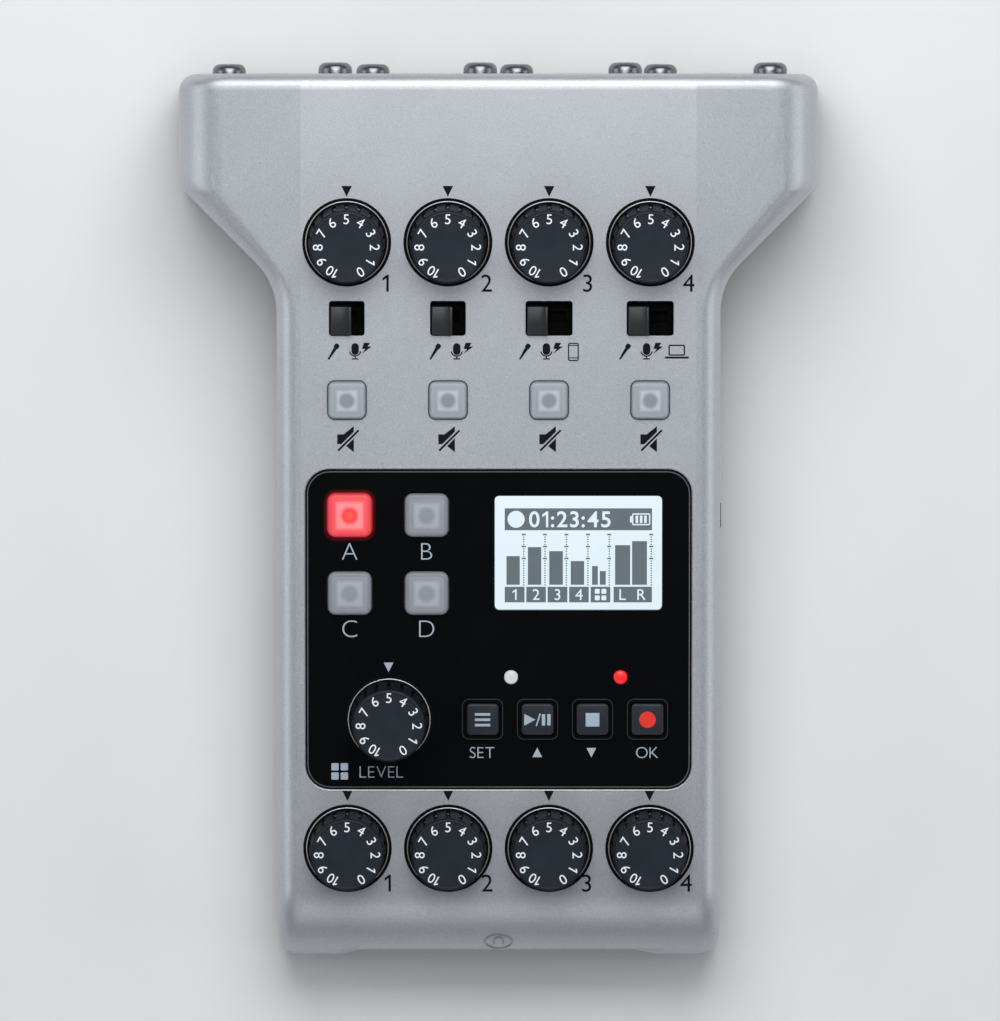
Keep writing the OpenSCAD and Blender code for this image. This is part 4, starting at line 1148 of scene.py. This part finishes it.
@dataclass
class Knob:
    """A fluted knob with numbers round its top, standing in a seat with a black ring that paints the shade in the
    seat's groove.
    """

    node: str
    across: float
    along: float
    surface: float = 0.0
    radius: float = 6.75
    top_radius: float = 6.45
    height: float = 7.9
    lift: float = 0.15
    flutes: int = 18
    flute_steps: int = 12
    flute_half: float = 1.5
    flute_depth: float = 0.4
    flute_end: float = 1.1
    bevel: float = 0.45
    foot_bevel: float = 0.12
    dish: Outline = ((5.88, 0.0), (5.8, 0.05), (5.7, 0.06))
    top_facing: float = 0.9
    shaft_radius: float = 3.0
    shaft_low: float = -5.2
    seal: Triple = (7.37, 7.73, 0.85)
    washer: float = 6.3
    bead: Point = (7.25, 7.08)
    digit_radius: float = 4.96
    digit_height: float = 1.7
    digit_step: float = 30.0

    def build(self) -> None:
        """Builds the cap, whose sides are painted darker as shade, and its numbers, then the seat."""
        foot = self.surface + self.lift
        place = FACE.at(self.across, self.along, foot)
        low = self.shaft_low - foot
        shaft = turned([(0, low), (self.shaft_radius, low), (self.shaft_radius, 2), (0, 2)])
        cap = install(self.node + "_cap", joined([self.cap(), shaft]), KNOB_SLATE, self.node, place,
                      (self.node,), 28)
        # The cap's sides take the darker finish, painted shade, with a duller gloss.
        cap.data.materials.append(KNOB_SIDE_SHADE.material())
        for face in cap.data.polygons:
            face.material_index = int(face.normal.z < self.top_facing)
        install(self.node + "_numbers", self.numbers(), PRINT_WHITE, self.node, place)
        self.seat()

    def seat(self) -> None:
        """Builds the black ring in the face, painted shade in the seat's groove, and the bright bead on it."""
        inner, outer, depth = self.seal
        ring = [(inner, -depth), (outer, -depth), (outer, -0.02), (outer + 0.05, 0.0), (outer + 0.03, 0.05),
                (self.washer, 0.05), (self.washer, 0.0), (inner, -0.02)]
        bright, dim = self.bead
        line = [(dim, 0.04), (bright, 0.04), (bright, 0.08), ((bright + dim) / 2, 0.12), (dim, 0.08)]
        place = FACE.at(self.across, self.along, self.surface)
        # The black ring paints the shade of the groove round the seat.
        for part, profile, finish in (("_seal", ring, BLACK_AND_PAINTED_SHADE), ("_bead", line, SILVER)):
            install(self.node + part, turned(profile, 96, True), finish, place=place)

    def ring(self, verts: Iterable[bmesh.types.BMVert], radius: float, groove: float, height: float) -> None:
        """Sets one ring of the cap.

        Args:
            verts: Its points, at any distance from the middle.
            radius: Radius between the flutes.
            groove: Radius at the bottom of the flutes.
            height: Height above the foot.
        """
        pitch = 2 * math.pi / self.flutes
        for vert in verts:
            angle = math.atan2(vert.co.y, vert.co.x)
            off = abs((angle / pitch) % 1 - 0.5) * self.flute_steps
            reach = groove if off < self.flute_half else radius
            vert.co = (reach * math.cos(angle), reach * math.sin(angle), height)

    def cap(self) -> BMesh:
        """Builds the cap from rings, from its foot to the dished top.

        Returns:
            The closed shape.
        """
        top = self.height
        floor = self.top_radius - self.flute_depth
        shoulder = top - 2 * self.bevel
        rings = [(self.radius, floor, self.foot_bevel), (self.radius, floor, 0.3),
                 (self.top_radius + 0.05, floor, shoulder - self.flute_end),
                 (self.top_radius + 0.02, self.top_radius, shoulder)]
        rounds = [(self.top_radius - self.bevel * (1 - c), self.bevel * (1 - s)) for c, s in quarter(5)]
        rings += [(radius, radius, top - drop) for radius, drop in (*rounds, *self.dish)]
        foot = self.radius - self.foot_bevel
        shape = bmesh.new()
        bmesh.ops.create_circle(shape, cap_ends=True, segments=self.flutes * self.flute_steps, radius=foot)
        line = shape.edges[:]
        self.ring(shape.verts, foot, floor - 0.05, 0.0)
        for radius, groove, height in rings:
            grown = bmesh.ops.extrude_edge_only(shape, edges=line)["geom"]
            verts = vertices(grown)
            line = [edge for edge in edges(grown) if all(v in verts for v in edge.verts)]
            self.ring(verts, radius, groove, height)
        bmesh.ops.holes_fill(shape, edges=line)
        return outward(shape)

    def numbers(self) -> BMesh:
        """Builds the numbers 0 to 10, with 5 at the rear and each one upright from the middle.

        Returns:
            The numbers as closed shapes.
        """
        top = self.height - self.dish[-1][1]
        shapes = []
        for value in range(11):
            text = lettering(str(value), self.digit_height, top - 0.02, top + 0.03)
            shapes.append(moved(moved(text, 0, self.digit_radius), turn=(value - 5) * self.digit_step))
        return joined(shapes)


@dataclass
class InputSwitch:
    """A slide switch: a ridged cap in a slot with a black lining."""

    channel: int
    travel: float
    along: float = 34.0
    width: float = 3.6
    length: float = 4.9
    back: float = 0.9
    rise: float = 1.1
    low: float = -2.5
    bend: float = 0.1
    peg: Triple = (1.6, -4.0, -2.45)
    gap: float = 0.3
    corner: float = 0.5
    lining: float = 0.12
    lining_gap: float = 0.02
    lining_heights: Point = (-2.38, -0.04)

    def build(self) -> None:
        """Builds the cap at its rest end and the lining of its slot."""
        node = f"input_switch_{self.channel + 1}"
        middle = CHANNELS[self.channel] * CHANNEL_PITCH
        place = FACE.at(middle - self.travel / 2, self.along)
        install(node + "_cap", self.cap(), SLIDER_BLACK, node, place, (node,), 30)
        slot_w = self.width + self.travel + 2 * self.gap - self.lining_gap
        slot_l = self.length + self.back + self.gap - self.lining_gap
        outer = (slot_w, slot_l, self.corner)
        lining = frame_plate(outer, grown(outer, -self.lining), *self.lining_heights)
        install(node + "_slot", lining, BLACK_AND_PAINTED_SHADE, place=FACE.at(middle, self.along))

    def cap(self) -> BMesh:
        """Builds the cap from its section, which has a grip ridge at one side, and its peg.

        Returns:
            The two closed shapes.
        """
        half, top = self.width / 2, self.rise
        section = [(-half, self.low), (half, self.low), (half, top + 0.18), (half - 0.12, top + 0.38),
                   (half - 0.42, top + 0.38), (half - 0.6, top + 0.08), (half - 0.85, top - 0.02), (0, top - 0.1),
                   (-half + 0.5, top - 0.02), (-half + 0.15, top), (-half, top - 0.15)]
        body = outline(section, -self.length / 2, self.length / 2)
        level = [e for e in body.edges if abs(e.verts[0].co.z - e.verts[1].co.z) < SAME]
        round_off(body, [e for e in level if max(v.co.y for v in e.verts) > 0], self.bend, 2)
        bmesh.ops.rotate(body, verts=body.verts, cent=(0, 0, 0), matrix=Matrix.Rotation(math.radians(90), 3, "X"))
        width, low, high = self.peg
        return joined([moved(body, 0, (self.gap - self.back) / 2), plate(width, width, 0, low, high)])


class ButtonSize(NamedTuple):
    """Sizes of a push button; under is the underside of the plate above its flange."""

    width: float
    corner: float
    under: float
    rise: float
    soften: float


class ButtonKind(Enum):
    """Kinds of push button."""

    MUTE = ButtonSize(6.6, 1.2, -2.4, 0.9, 0.6)
    PAD = ButtonSize(7.65, 1.4, -1.3, 1.1, 0.6)
    KEY = ButtonSize(5.6, 0.7, -1.3, 1.1, 0.35)


@dataclass
class PushButton:
    """A push button with a crowned cap, a flange under the plate and a stem."""

    node: str
    kind: ButtonKind
    across: float
    along: float
    finish: Finish
    slot: Slot
    flange: float = 0.8
    gap: float = 0.3
    stem_radius: float = 1.6
    stem_low: float = -5.0
    stem_overlap: float = 0.1

    def build(self) -> None:
        """Builds the cap, the flange and the stem as one moulding."""
        size = self.kind.value
        top = size.under - self.gap
        low = top - self.flange
        wide = size.width + 2 * self.flange
        stem_top = low + self.stem_overlap
        stem = [(0, self.stem_low), (self.stem_radius, self.stem_low), (self.stem_radius, stem_top), (0, stem_top)]
        shapes = [plate(size.width, size.width, size.corner, low, size.rise, size.soften, 8),
                  plate(wide, wide, size.corner, low, top), turned(stem, 32)]
        whole = joined([chart(shape, size.width) for shape in shapes])
        place = FACE.at(self.across, self.along)
        install(self.node + "_cap", whole, self.finish, self.node, place, (self.node,))


@dataclass
class Controls:
    """The knobs, slide switches and buttons on the face."""

    gain_row: float = 47.4
    headphone_row: float = -59.8
    pad_knob: Point = (-19.2, -36.9)
    travels: tuple[float, ...] = (2.0, 2.0, 4.0, 4.0)
    mute_row: float = 19.6
    mute_gaps: Point = (0.29, 0.1)
    mute_lining: Point = (-0.6, -0.12)
    pad_pitch: Point = (13.5, 13.8)
    keys: Point = (-2.8, -36.8)
    key_pitch: float = 9.65
    key_names: tuple[str, ...] = ("menu", "play", "stop", "record")
    rim: Triple = (7.24, 1.2, 0.16)
    rim_top: float = 0.6

    def build(self) -> None:
        """Builds every control in its place."""
        for index, step in enumerate(CHANNELS):
            across = step * CHANNEL_PITCH
            Knob(f"gain_knob_{index + 1}", across, self.gain_row).build()
            Knob(f"headphone_knob_{index + 1}", across, self.headphone_row).build()
            InputSwitch(index, self.travels[index]).build()
            name = f"mute_button_{index + 1}"
            PushButton(name, ButtonKind.MUTE, across, self.mute_row, MUTE_GREY, Slot.SILICONE).build()
        Knob("pad_level_knob", *self.pad_knob, surface=PANEL_PROUD).build()
        for index, letter in enumerate("abcd"):
            across = LIT_PAD[0] + index % 2 * self.pad_pitch[0]
            along = LIT_PAD[1] - index // 2 * self.pad_pitch[1]
            finish, slot = (PAD_RED, Slot.LIT) if letter == "a" else (PAD_GREY, Slot.SILICONE)
            PushButton(f"pad_button_{letter}", ButtonKind.PAD, across, along, finish, slot).build()
        for index, name in enumerate(self.key_names):
            across = self.keys[0] + index * self.key_pitch
            PushButton(f"{name}_button", ButtonKind.KEY, across, self.keys[1], KEY_DARK, Slot.KEY).build()
            self.symbol(name, across)
        self.key_rims()
        self.mute_linings()

    def key_rims(self) -> None:
        """Builds a painted highlight line along the top edge of the raised rim round each key."""
        width, corner, line = self.rim
        marks = Marks()
        for index in range(len(self.key_names)):
            marks.ring_box(self.keys[0] + index * self.key_pitch, self.keys[1], width, width, corner, line)
        marks.put("key_rim_highlight_lines", KEY_RIM_HIGHLIGHT, Slot.PANEL, FACE.at(above=self.rim_top))

    def mute_linings(self) -> None:
        """Builds the pale lining of the opening round each mute button."""
        button = ButtonKind.MUTE.value
        outer, inner = (grown((button.width, button.width, button.corner), gap) for gap in self.mute_gaps)
        rings = [moved(frame_plate(outer, inner, *self.mute_lining), step * CHANNEL_PITCH, self.mute_row)
                 for step in CHANNELS]
        install("mute_linings", joined(rings), LINING_GREY, place=FACE.at())

    def symbol(self, name: str, across: float) -> None:
        """Prints the symbol on a key, which moves with it.

        Args:
            name: Name of the key.
            across: Place of the key.
        """
        marks = Marks()
        if name == "menu":
            for step in (-1, 0, 1):
                marks.box(0, step * 0.95, 2.7, 0.45)
        elif name == "play":
            marks.area(((-2.35, -1.05), (-0.35, 0), (-2.35, 1.05)))
            marks.box(0.12, 0, 0.25, 2.3, turn=-17)
            marks.box(1.05, 0, 0.6, 2.0)
            marks.box(2.0, 0, 0.6, 2.0)
        elif name == "stop":
            marks.box(0, 0, 2.4, 2.4)
        else:
            marks.dot(0, 0, 1.45)
        finish = PRINT_RED if name == "record" else PRINT_BLUE
        place = FACE.at(across, self.keys[1], ButtonKind.KEY.value.rise)
        marks.put(f"{name}_symbol", finish, Slot.KEY, place, f"{name}_button")


@dataclass
class Panel:
    """The black panel with its print, the two lamps and the display."""

    lamps: Outline = ((2.2, -29.4), (21.4, -29.4))
    lamp_r: float = 1.15
    lamp_low: float = -7.0
    lamp_dome: Point = (0.2, 0.35)
    gap: float = 0.24
    edge: float = 0.42
    glow_outer: Point = (2.2, 2.5)
    glow_inner: Point = (0.62, 1.6)
    screen: Point = (14.0, -7.4)
    screen_size: Triple = (29.3, 20.0, 0.8)
    screen_low: float = -1.3
    screen_sunk: float = 0.05
    figure_rise: float = 0.03
    arrow: Outline = ((-0.85, 0.82), (0.85, 0.82), (0, -0.88))
    level: float = 0.999

    def build(self) -> None:
        """Builds the panel, whose flat faces are shaded flat, then the lamps, display and print."""
        up = FACE.up()
        reshade(refine("control_panel", PANEL_BLACK, edge=0.12),
                lambda facing, _: facing.dot(up) > self.level, lambda _: up)
        self.rim()
        self.lights()
        self.display()
        self.print()

    def rim(self) -> None:
        """Builds the dark gap and the worn edge round the panel, and the glow round the lit pad."""
        # The second band paints a highlight line just inside the dark gap.
        bands = (("panel_gap", BLACK_AND_PAINTED_SHADE, 0.0, self.gap), ("panel_edge_highlight", PANEL_EDGE_HIGHLIGHT, self.gap, self.edge))
        for name, finish, *insets in bands:
            outer, inner = (grown(PANEL_SIZE, -inset) for inset in insets)
            band = frame_plate(outer, inner, -0.1, 0.02)
            install(name, band, finish, place=FACE.at(0, PANEL_MIDDLE, PANEL_PROUD))
        # The frame round the lit pad carries painted red light spilling from the pad.
        pad = ButtonKind.PAD.value.width
        outer, inner = ((pad + wider, pad + wider, round_r) for wider, round_r in (self.glow_outer, self.glow_inner))
        glow = chart(frame_plate(outer, inner, -0.05, 0.02), pad)
        install("pad_light_spill", glow, PANEL_RED_SPILL, place=FACE.at(*LIT_PAD, PANEL_PROUD))

    def lights(self) -> None:
        """Builds two domed lamps, the first of which stands for the solid of both."""
        rise, dome = self.lamp_dome
        edge = PANEL_PROUD + rise - dome
        profile = [(0, self.lamp_low), (self.lamp_r, self.lamp_low),
                   *((self.lamp_r * c, edge + dome * s) for c, s in quarter(6))]
        kinds = (("white_lamp", LAMP_WHITE, ("status_lamps",)), ("red_lamp", LAMP_RED, ()))
        for (name, finish, stands_for), spot in zip(kinds, self.lamps):
            install(name, turned(profile, 32), finish, place=FACE.at(*spot), stands_for=stands_for)

    def display(self) -> None:
        """Builds the lit window and the segments on it."""
        top = PANEL_PROUD - self.screen_sunk
        glass = plate(*self.screen_size, self.screen_low, top, 0.05)
        install("display_window", glass, SCREEN_LIT, place=FACE.at(*self.screen),
                stands_for=("display_lens",))
        place = FACE.at(*self.screen, top)
        dark = self.bars()
        self.scales(dark)
        dark.put("display_segments", SCREEN_DARK, Slot.DISPLAY, place)
        place = place @ Matrix.Translation((0, 0, self.figure_rise))
        self.figures().put("display_figures", SCREEN_LIT, Slot.DISPLAY, place)

    def bars(self) -> Marks:
        """Draws the bar along the top, the level bars and the fields of the labels.

        Returns:
            The sheet with these marks.
        """
        marks = Marks()
        marks.span(-12.91, 4.03, 12.91, 7.91)
        for left, right, top in ((-12.61, -10.27, -0.54), (-8.86, -6.5, 1.05), (-5.11, -2.71, 0.34),
                                 (-1.34, 1.02, -1.42), (2.41, 3.42, -2.3), (3.77, 4.81, -3.19), (6.44, 9.09, 1.4),
                                 (9.42, 12.03, 2.11)):
            marks.span(left, -5.62, right, top)
        for left, right in ((-12.91, -9.44), (-9.13, -5.69), (-5.39, -1.92), (-1.61, 1.83), (2.16, 5.61),
                            (6.18, 12.91)):
            marks.span(left, -8.73, right, -5.96)
        return marks

    def scales(self, marks: Marks) -> None:
        """Adds a dotted scale with three ticks beside each level bar.

        Args:
            marks: The sheet.
        """
        for line in (-9.58, -5.85, -2.1, 1.67, 5.42, 12.78):
            for step in range(22):
                marks.box(line, 3.24 - step * 0.423, 0.25, 0.21)
            for step in range(3):
                marks.box(line, 3.27 - step * 2.117, 0.7, 0.28)

    def figures(self) -> Marks:
        """Draws the bright figures: record dot, time, battery and labels.

        Returns:
            The sheet with these marks.
        """
        marks = Marks()
        upper, lower = 5.97, -7.35
        marks.dot(-10.92, upper, 1.5)
        marks.word("01:23:45", -1.5, upper, 2.8, -0.014)
        marks.ring_box(11.0, upper, 3.2, 2.1, 0.3, 0.22)
        marks.box(9.23, upper, 0.35, 1.1)
        for step in (-1, 0, 1):
            marks.box(11.0 + step * 0.75, upper, 0.45, 1.3)
        for text, across in (("1", -11.18), ("2", -7.41), ("3", -3.66), ("4", 0.11), ("L", 7.77), ("R", 11.08)):
            marks.word(text, across, lower, 1.9, 0.0)
        marks.four_boxes(3.9, lower, 0.58, 0.85, 0.12)
        return marks

    def print(self) -> None:
        """Prints the pad letters, arrows and words on the panel."""
        marks = Marks()
        for letter, across, along in (("A", -26.1, -7.1), ("B", -12.6, -7.1), ("C", -26.1, -20.8),
                                      ("D", -12.6, -20.8)):
            marks.word(letter, across, along, 2.9, 0.02)
        row = -42.75
        marks.area([(-x, -y) for x, y in self.arrow], 6.8, row)
        marks.area(self.arrow, 16.3, row)
        marks.area(self.arrow, -19.3, -27.6)
        marks.four_boxes(-27.9, -46.1, 0.82, 1.3, 0.2)
        marks.word("LEVEL", -20.6, -46.2, 2.0)
        marks.word("SET", -2.9, row, 1.9)
        marks.word("OK", 26.1, row, 1.9)
        marks.put("panel_print", PRINT_BLUE, Slot.PANEL, FACE.at(above=PANEL_PROUD))


@dataclass
class FacePrint:
    """The dark print on the silver face."""

    pointer: Outline = ((-0.92, 0.92), (0.92, 0.92), (0, -0.98))
    pointer_rows: Point = (56.4, -50.4)
    number_rows: Outline = ((40.2, 17.67), (-66.0, 17.49))
    number_offset: float = 6.75
    number_height: float = 3.0
    input_row: float = 28.1
    input_signs: tuple[float, ...] = (-28.96, -11.17, 4.52, 22.05)
    input_pitch: Point = (3.86, 0.15)
    phone_at: float = 13.1
    computer_at: float = 31.2
    mute_row: float = 12.6
    handle: Outline = ((-0.95, -1.28), (-0.7, -1.38), (0.62, 0.42), (0.1, 0.72))
    flash: Outline = ((-0.45, 0.95), (0.6, 0.95), (0.2, 0.3), (0.9, 0.3), (-0.85, -1.0), (-0.2, -0.12), (-0.8, -0.12))
    speaker: Outline = ((-1.75, -0.78), (-0.6, -0.78), (1.15, -2.2), (1.15, 2.4), (-0.65, 0.95), (-1.75, 0.95))
    strike: Triple = (5.1, 0.34, 45.0)
    strike_gap: float = 0.42

    def build(self) -> None:
        """Prints the pointers, channel numbers and input signs."""
        marks = Marks()
        for index, step in enumerate(CHANNELS):
            across = step * CHANNEL_PITCH
            for row in self.pointer_rows:
                marks.area(self.pointer, across, row)
            for row, pitch in self.number_rows:
                marks.word(str(index + 1), step * pitch + self.number_offset, row, self.number_height, 0.0)
            sign = self.input_signs[index]
            self.hand_microphone(marks, sign, self.input_row)
            self.studio_microphone(marks, sign + self.input_pitch[0], self.input_row + self.input_pitch[1])
            self.silenced(marks, across + 0.05, self.mute_row)
        self.phone(marks, self.phone_at, self.input_row)
        self.computer(marks, self.computer_at, self.input_row)
        marks.put("face_print", PRINT_DARK, Slot.SILVER, FACE.at())

    def hand_microphone(self, marks: Marks, x: float, y: float) -> None:
        """Adds the sign of a hand-held microphone at a place."""
        marks.area(self.handle, x, y)
        marks.box(x + 0.62, y + 0.98, 0.95, 0.85, 0.3, 57, 4)

    def studio_microphone(self, marks: Marks, x: float, y: float) -> None:
        """Adds the sign of a studio microphone with a lightning flash for its supply.

        Args:
            marks: The sheet.
            x: Place across.
            y: Place along.
        """
        marks.box(x, y + 0.35, 1.3, 2.1, 0.64)
        marks.bow(x, y + 0.1, 0.98, 0.22, 190, 350)
        marks.box(x, y - 1.1, 0.22, 0.5)
        marks.box(x, y - 1.38, 1.2, 0.22)
        marks.area(self.flash, x + 2.0, y + 0.5)

    def phone(self, marks: Marks, x: float, y: float) -> None:
        """Adds the sign of a telephone at a place."""
        marks.ring_box(x, y, 1.9, 3.2, 0.35, 0.2)
        for line in (-1.05, 1.15):
            marks.box(x, y + line, 1.6, 0.16)

    def computer(self, marks: Marks, x: float, y: float) -> None:
        """Adds the sign of a computer at a place."""
        marks.ring_box(x, y + 0.3, 2.9, 1.95, 0.25, 0.24)
        marks.box(x, y - 1.0, 4.2, 0.34, 0.12)

    def silenced(self, marks: Marks, x: float, y: float) -> None:
        """Adds the sign of a loudspeaker struck through.

        Args:
            marks: The sheet.
            x: Place across.
            y: Place along.
        """
        length, width, angle = self.strike
        across = Vector((math.sin(math.radians(angle)), -math.cos(math.radians(angle)), 0))
        middle = Vector((0.2, -0.12, 0))
        for side in (-1, 1):
            part = outline(self.speaker, marks.LOW, marks.HIGH)
            geometry = part.verts[:] + part.edges[:] + part.faces[:]
            cut = bmesh.ops.bisect_plane(part, geom=geometry, plane_co=middle + across * side * self.strike_gap,
                                         plane_no=across * side, clear_inner=True)["geom_cut"]
            bmesh.ops.holes_fill(part, edges=edges(cut))
            marks.add(outward(part), x, y)
        marks.box(x + middle.x, y + middle.y, length, width, 0.0, angle)


@dataclass
class Connections:
    """The sockets, jacks and ports in the walls, with the sockets' screws and contacts and the power switch."""

    channels: int = 4

    def build(self) -> None:
        """Builds every connector, the power switch and the socket screws."""
        for number in range(1, self.channels + 1):
            refine(f"xlr_socket_{number}", SOCKET_BLACK, edge=0.25)
            refine(f"xlr_latch_{number}", STEEL, f"xlr_latch_{number}", edge=0.3)
            refine(f"headphone_jack_{number}", SOCKET_BLACK, edge=0.12)
        refine("phone_jack", SOCKET_BLACK, edge=0.12)
        refine("usb_port", STEEL, edge=0.05)
        refine("card_socket", STEEL, edge=0.05)
        refine("power_switch", SLIDER_BLACK, "power_switch", edge=0.2)
        refine("xlr_screws", DARK_NICKEL, edge=0.06, angle=40)
        paint(BRASS, "xlr_contacts")


@dataclass
class Underside:
    """The battery cover, the case screws and the cells behind the cover."""

    cover_edge: float = 0.15
    screw_edge: float = 0.1

    def build(self) -> None:
        """Builds the cover and the screws, and finishes the cells."""
        refine("battery_cover", BLACK_CASE, "battery_cover", edge=self.cover_edge)
        refine("case_screws", DARK_NICKEL, edge=self.screw_edge)
        paint(CELL_BLUE, "battery_cells")
        paint(STEEL, "battery_contacts")


@dataclass
class Inside:
    """Boards and parts inside the case, which keep their solid shapes."""

    boards: tuple[str, ...] = ("control_board", "main_board", "jack_board")
    parts: tuple[str, ...] = ("potentiometers", "tact_switches", "display_module")

    def build(self) -> None:
        """Gives the hidden solids their finishes."""
        paint(BOARD_GREEN, *self.boards)
        paint(COMPONENT_GREY, *self.parts)
        paint(BLACK_AND_PAINTED_SHADE, "slide_switches")


class Lamp(NamedTuple):
    """A soft lamp: its name, place and size in metres, and power in watts."""

    name: str
    place: Triple
    size: Point
    power: float


@dataclass
class Studio:
    """The floor, the lamps and the camera."""

    floor_half: float = 3.0
    lamps: tuple[Lamp, ...] = (Lamp("rear lamp", (0.0, 0.32, 0.5), (0.5, 0.4), 2.35),
                               Lamp("overhead lamp", (0.0, 0.12, 0.5), (0.2, 0.3), 0.42),
                               Lamp("front lamp", (0.0, -0.55, 0.45), (0.5, 0.3), 0.52),
                               Lamp("left lamp", (-0.65, 0.0, 0.3), (0.6, 0.4), 1.1),
                               Lamp("right lamp", (0.65, 0.0, 0.3), (0.6, 0.4), 1.1))
    lamp_target: Triple = (0.0, 0.0, 0.03)
    room_colour: Triple = (0.82, 0.9, 1.0)
    room_strength: float = 0.17
    distance: float = 2.6
    lean: float = 1.0
    target: Triple = (0.00026, 0.0001, 0.033)
    view_height: float = 1021 / 5.705 * MM
    sensor: float = 36.0
    clip_end: float = 20.0

    def build(self) -> None:
        """Sets the stage."""
        self.floor()
        for lamp in self.lamps:
            self.hang(lamp)
        self.surroundings()
        self.camera()
        bpy.context.scene.view_settings.view_transform = "Standard"

    def floor(self) -> None:
        """Lays a plain pale floor."""
        shape = bmesh.new()
        bmesh.ops.create_grid(shape, x_segments=1, y_segments=1, size=self.floor_half)
        floor = cast("floor", shape)
        floor.data.materials.append(FLOOR_PALE.material())

    def hang(self, lamp: Lamp) -> None:
        """Hangs a soft lamp that points at the recorder.

        Args:
            lamp: The lamp.
        """
        light = bpy.data.lights.new(lamp.name, "AREA")
        light.shape = "RECTANGLE"
        light.size, light.size_y = lamp.size
        light.energy = lamp.power
        holder = bpy.data.objects.new(lamp.name, light)
        holder.location = lamp.place
        beam = Vector(self.lamp_target) - Vector(lamp.place)
        holder.rotation_euler = beam.to_track_quat("-Z", "Y").to_euler()
        bpy.context.scene.collection.objects.link(holder)

    def surroundings(self) -> None:
        """Lights the room with a dim even blue-grey."""
        world = bpy.data.worlds.new("room")
        world.use_nodes = True
        back = world.node_tree.nodes["Background"]
        back.inputs["Color"].default_value = (*self.room_colour, 1.0)
        back.inputs["Strength"].default_value = self.room_strength
        bpy.context.scene.world = world

    def camera(self) -> None:
        """Puts the camera above the recorder, leaning a little to the rear."""
        data = bpy.data.cameras.new("camera")
        data.sensor_fit = "VERTICAL"
        data.sensor_height = self.sensor
        data.lens = self.sensor * self.distance / self.view_height
        data.clip_end = self.clip_end
        camera = bpy.data.objects.new("camera", data)
        lean = math.radians(self.lean)
        camera.location = Vector(self.target) + self.distance * Vector((0, math.sin(lean), math.cos(lean)))
        camera.rotation_euler = (-lean, 0, 0)
        bpy.context.scene.collection.objects.link(camera)
        bpy.context.scene.camera = camera


def main() -> None:
    """Builds the recorder and its stage in order."""
    logging.basicConfig(level=logging.INFO, format="%(name)s: %(message)s")
    for assembly in (Studio(), Shells(), Panel(), Controls(), FacePrint(), Connections(), Underside(), Inside()):
        LOG.info("%s", type(assembly).__name__)
        assembly.build()


if __name__ == "__main__":
    main()
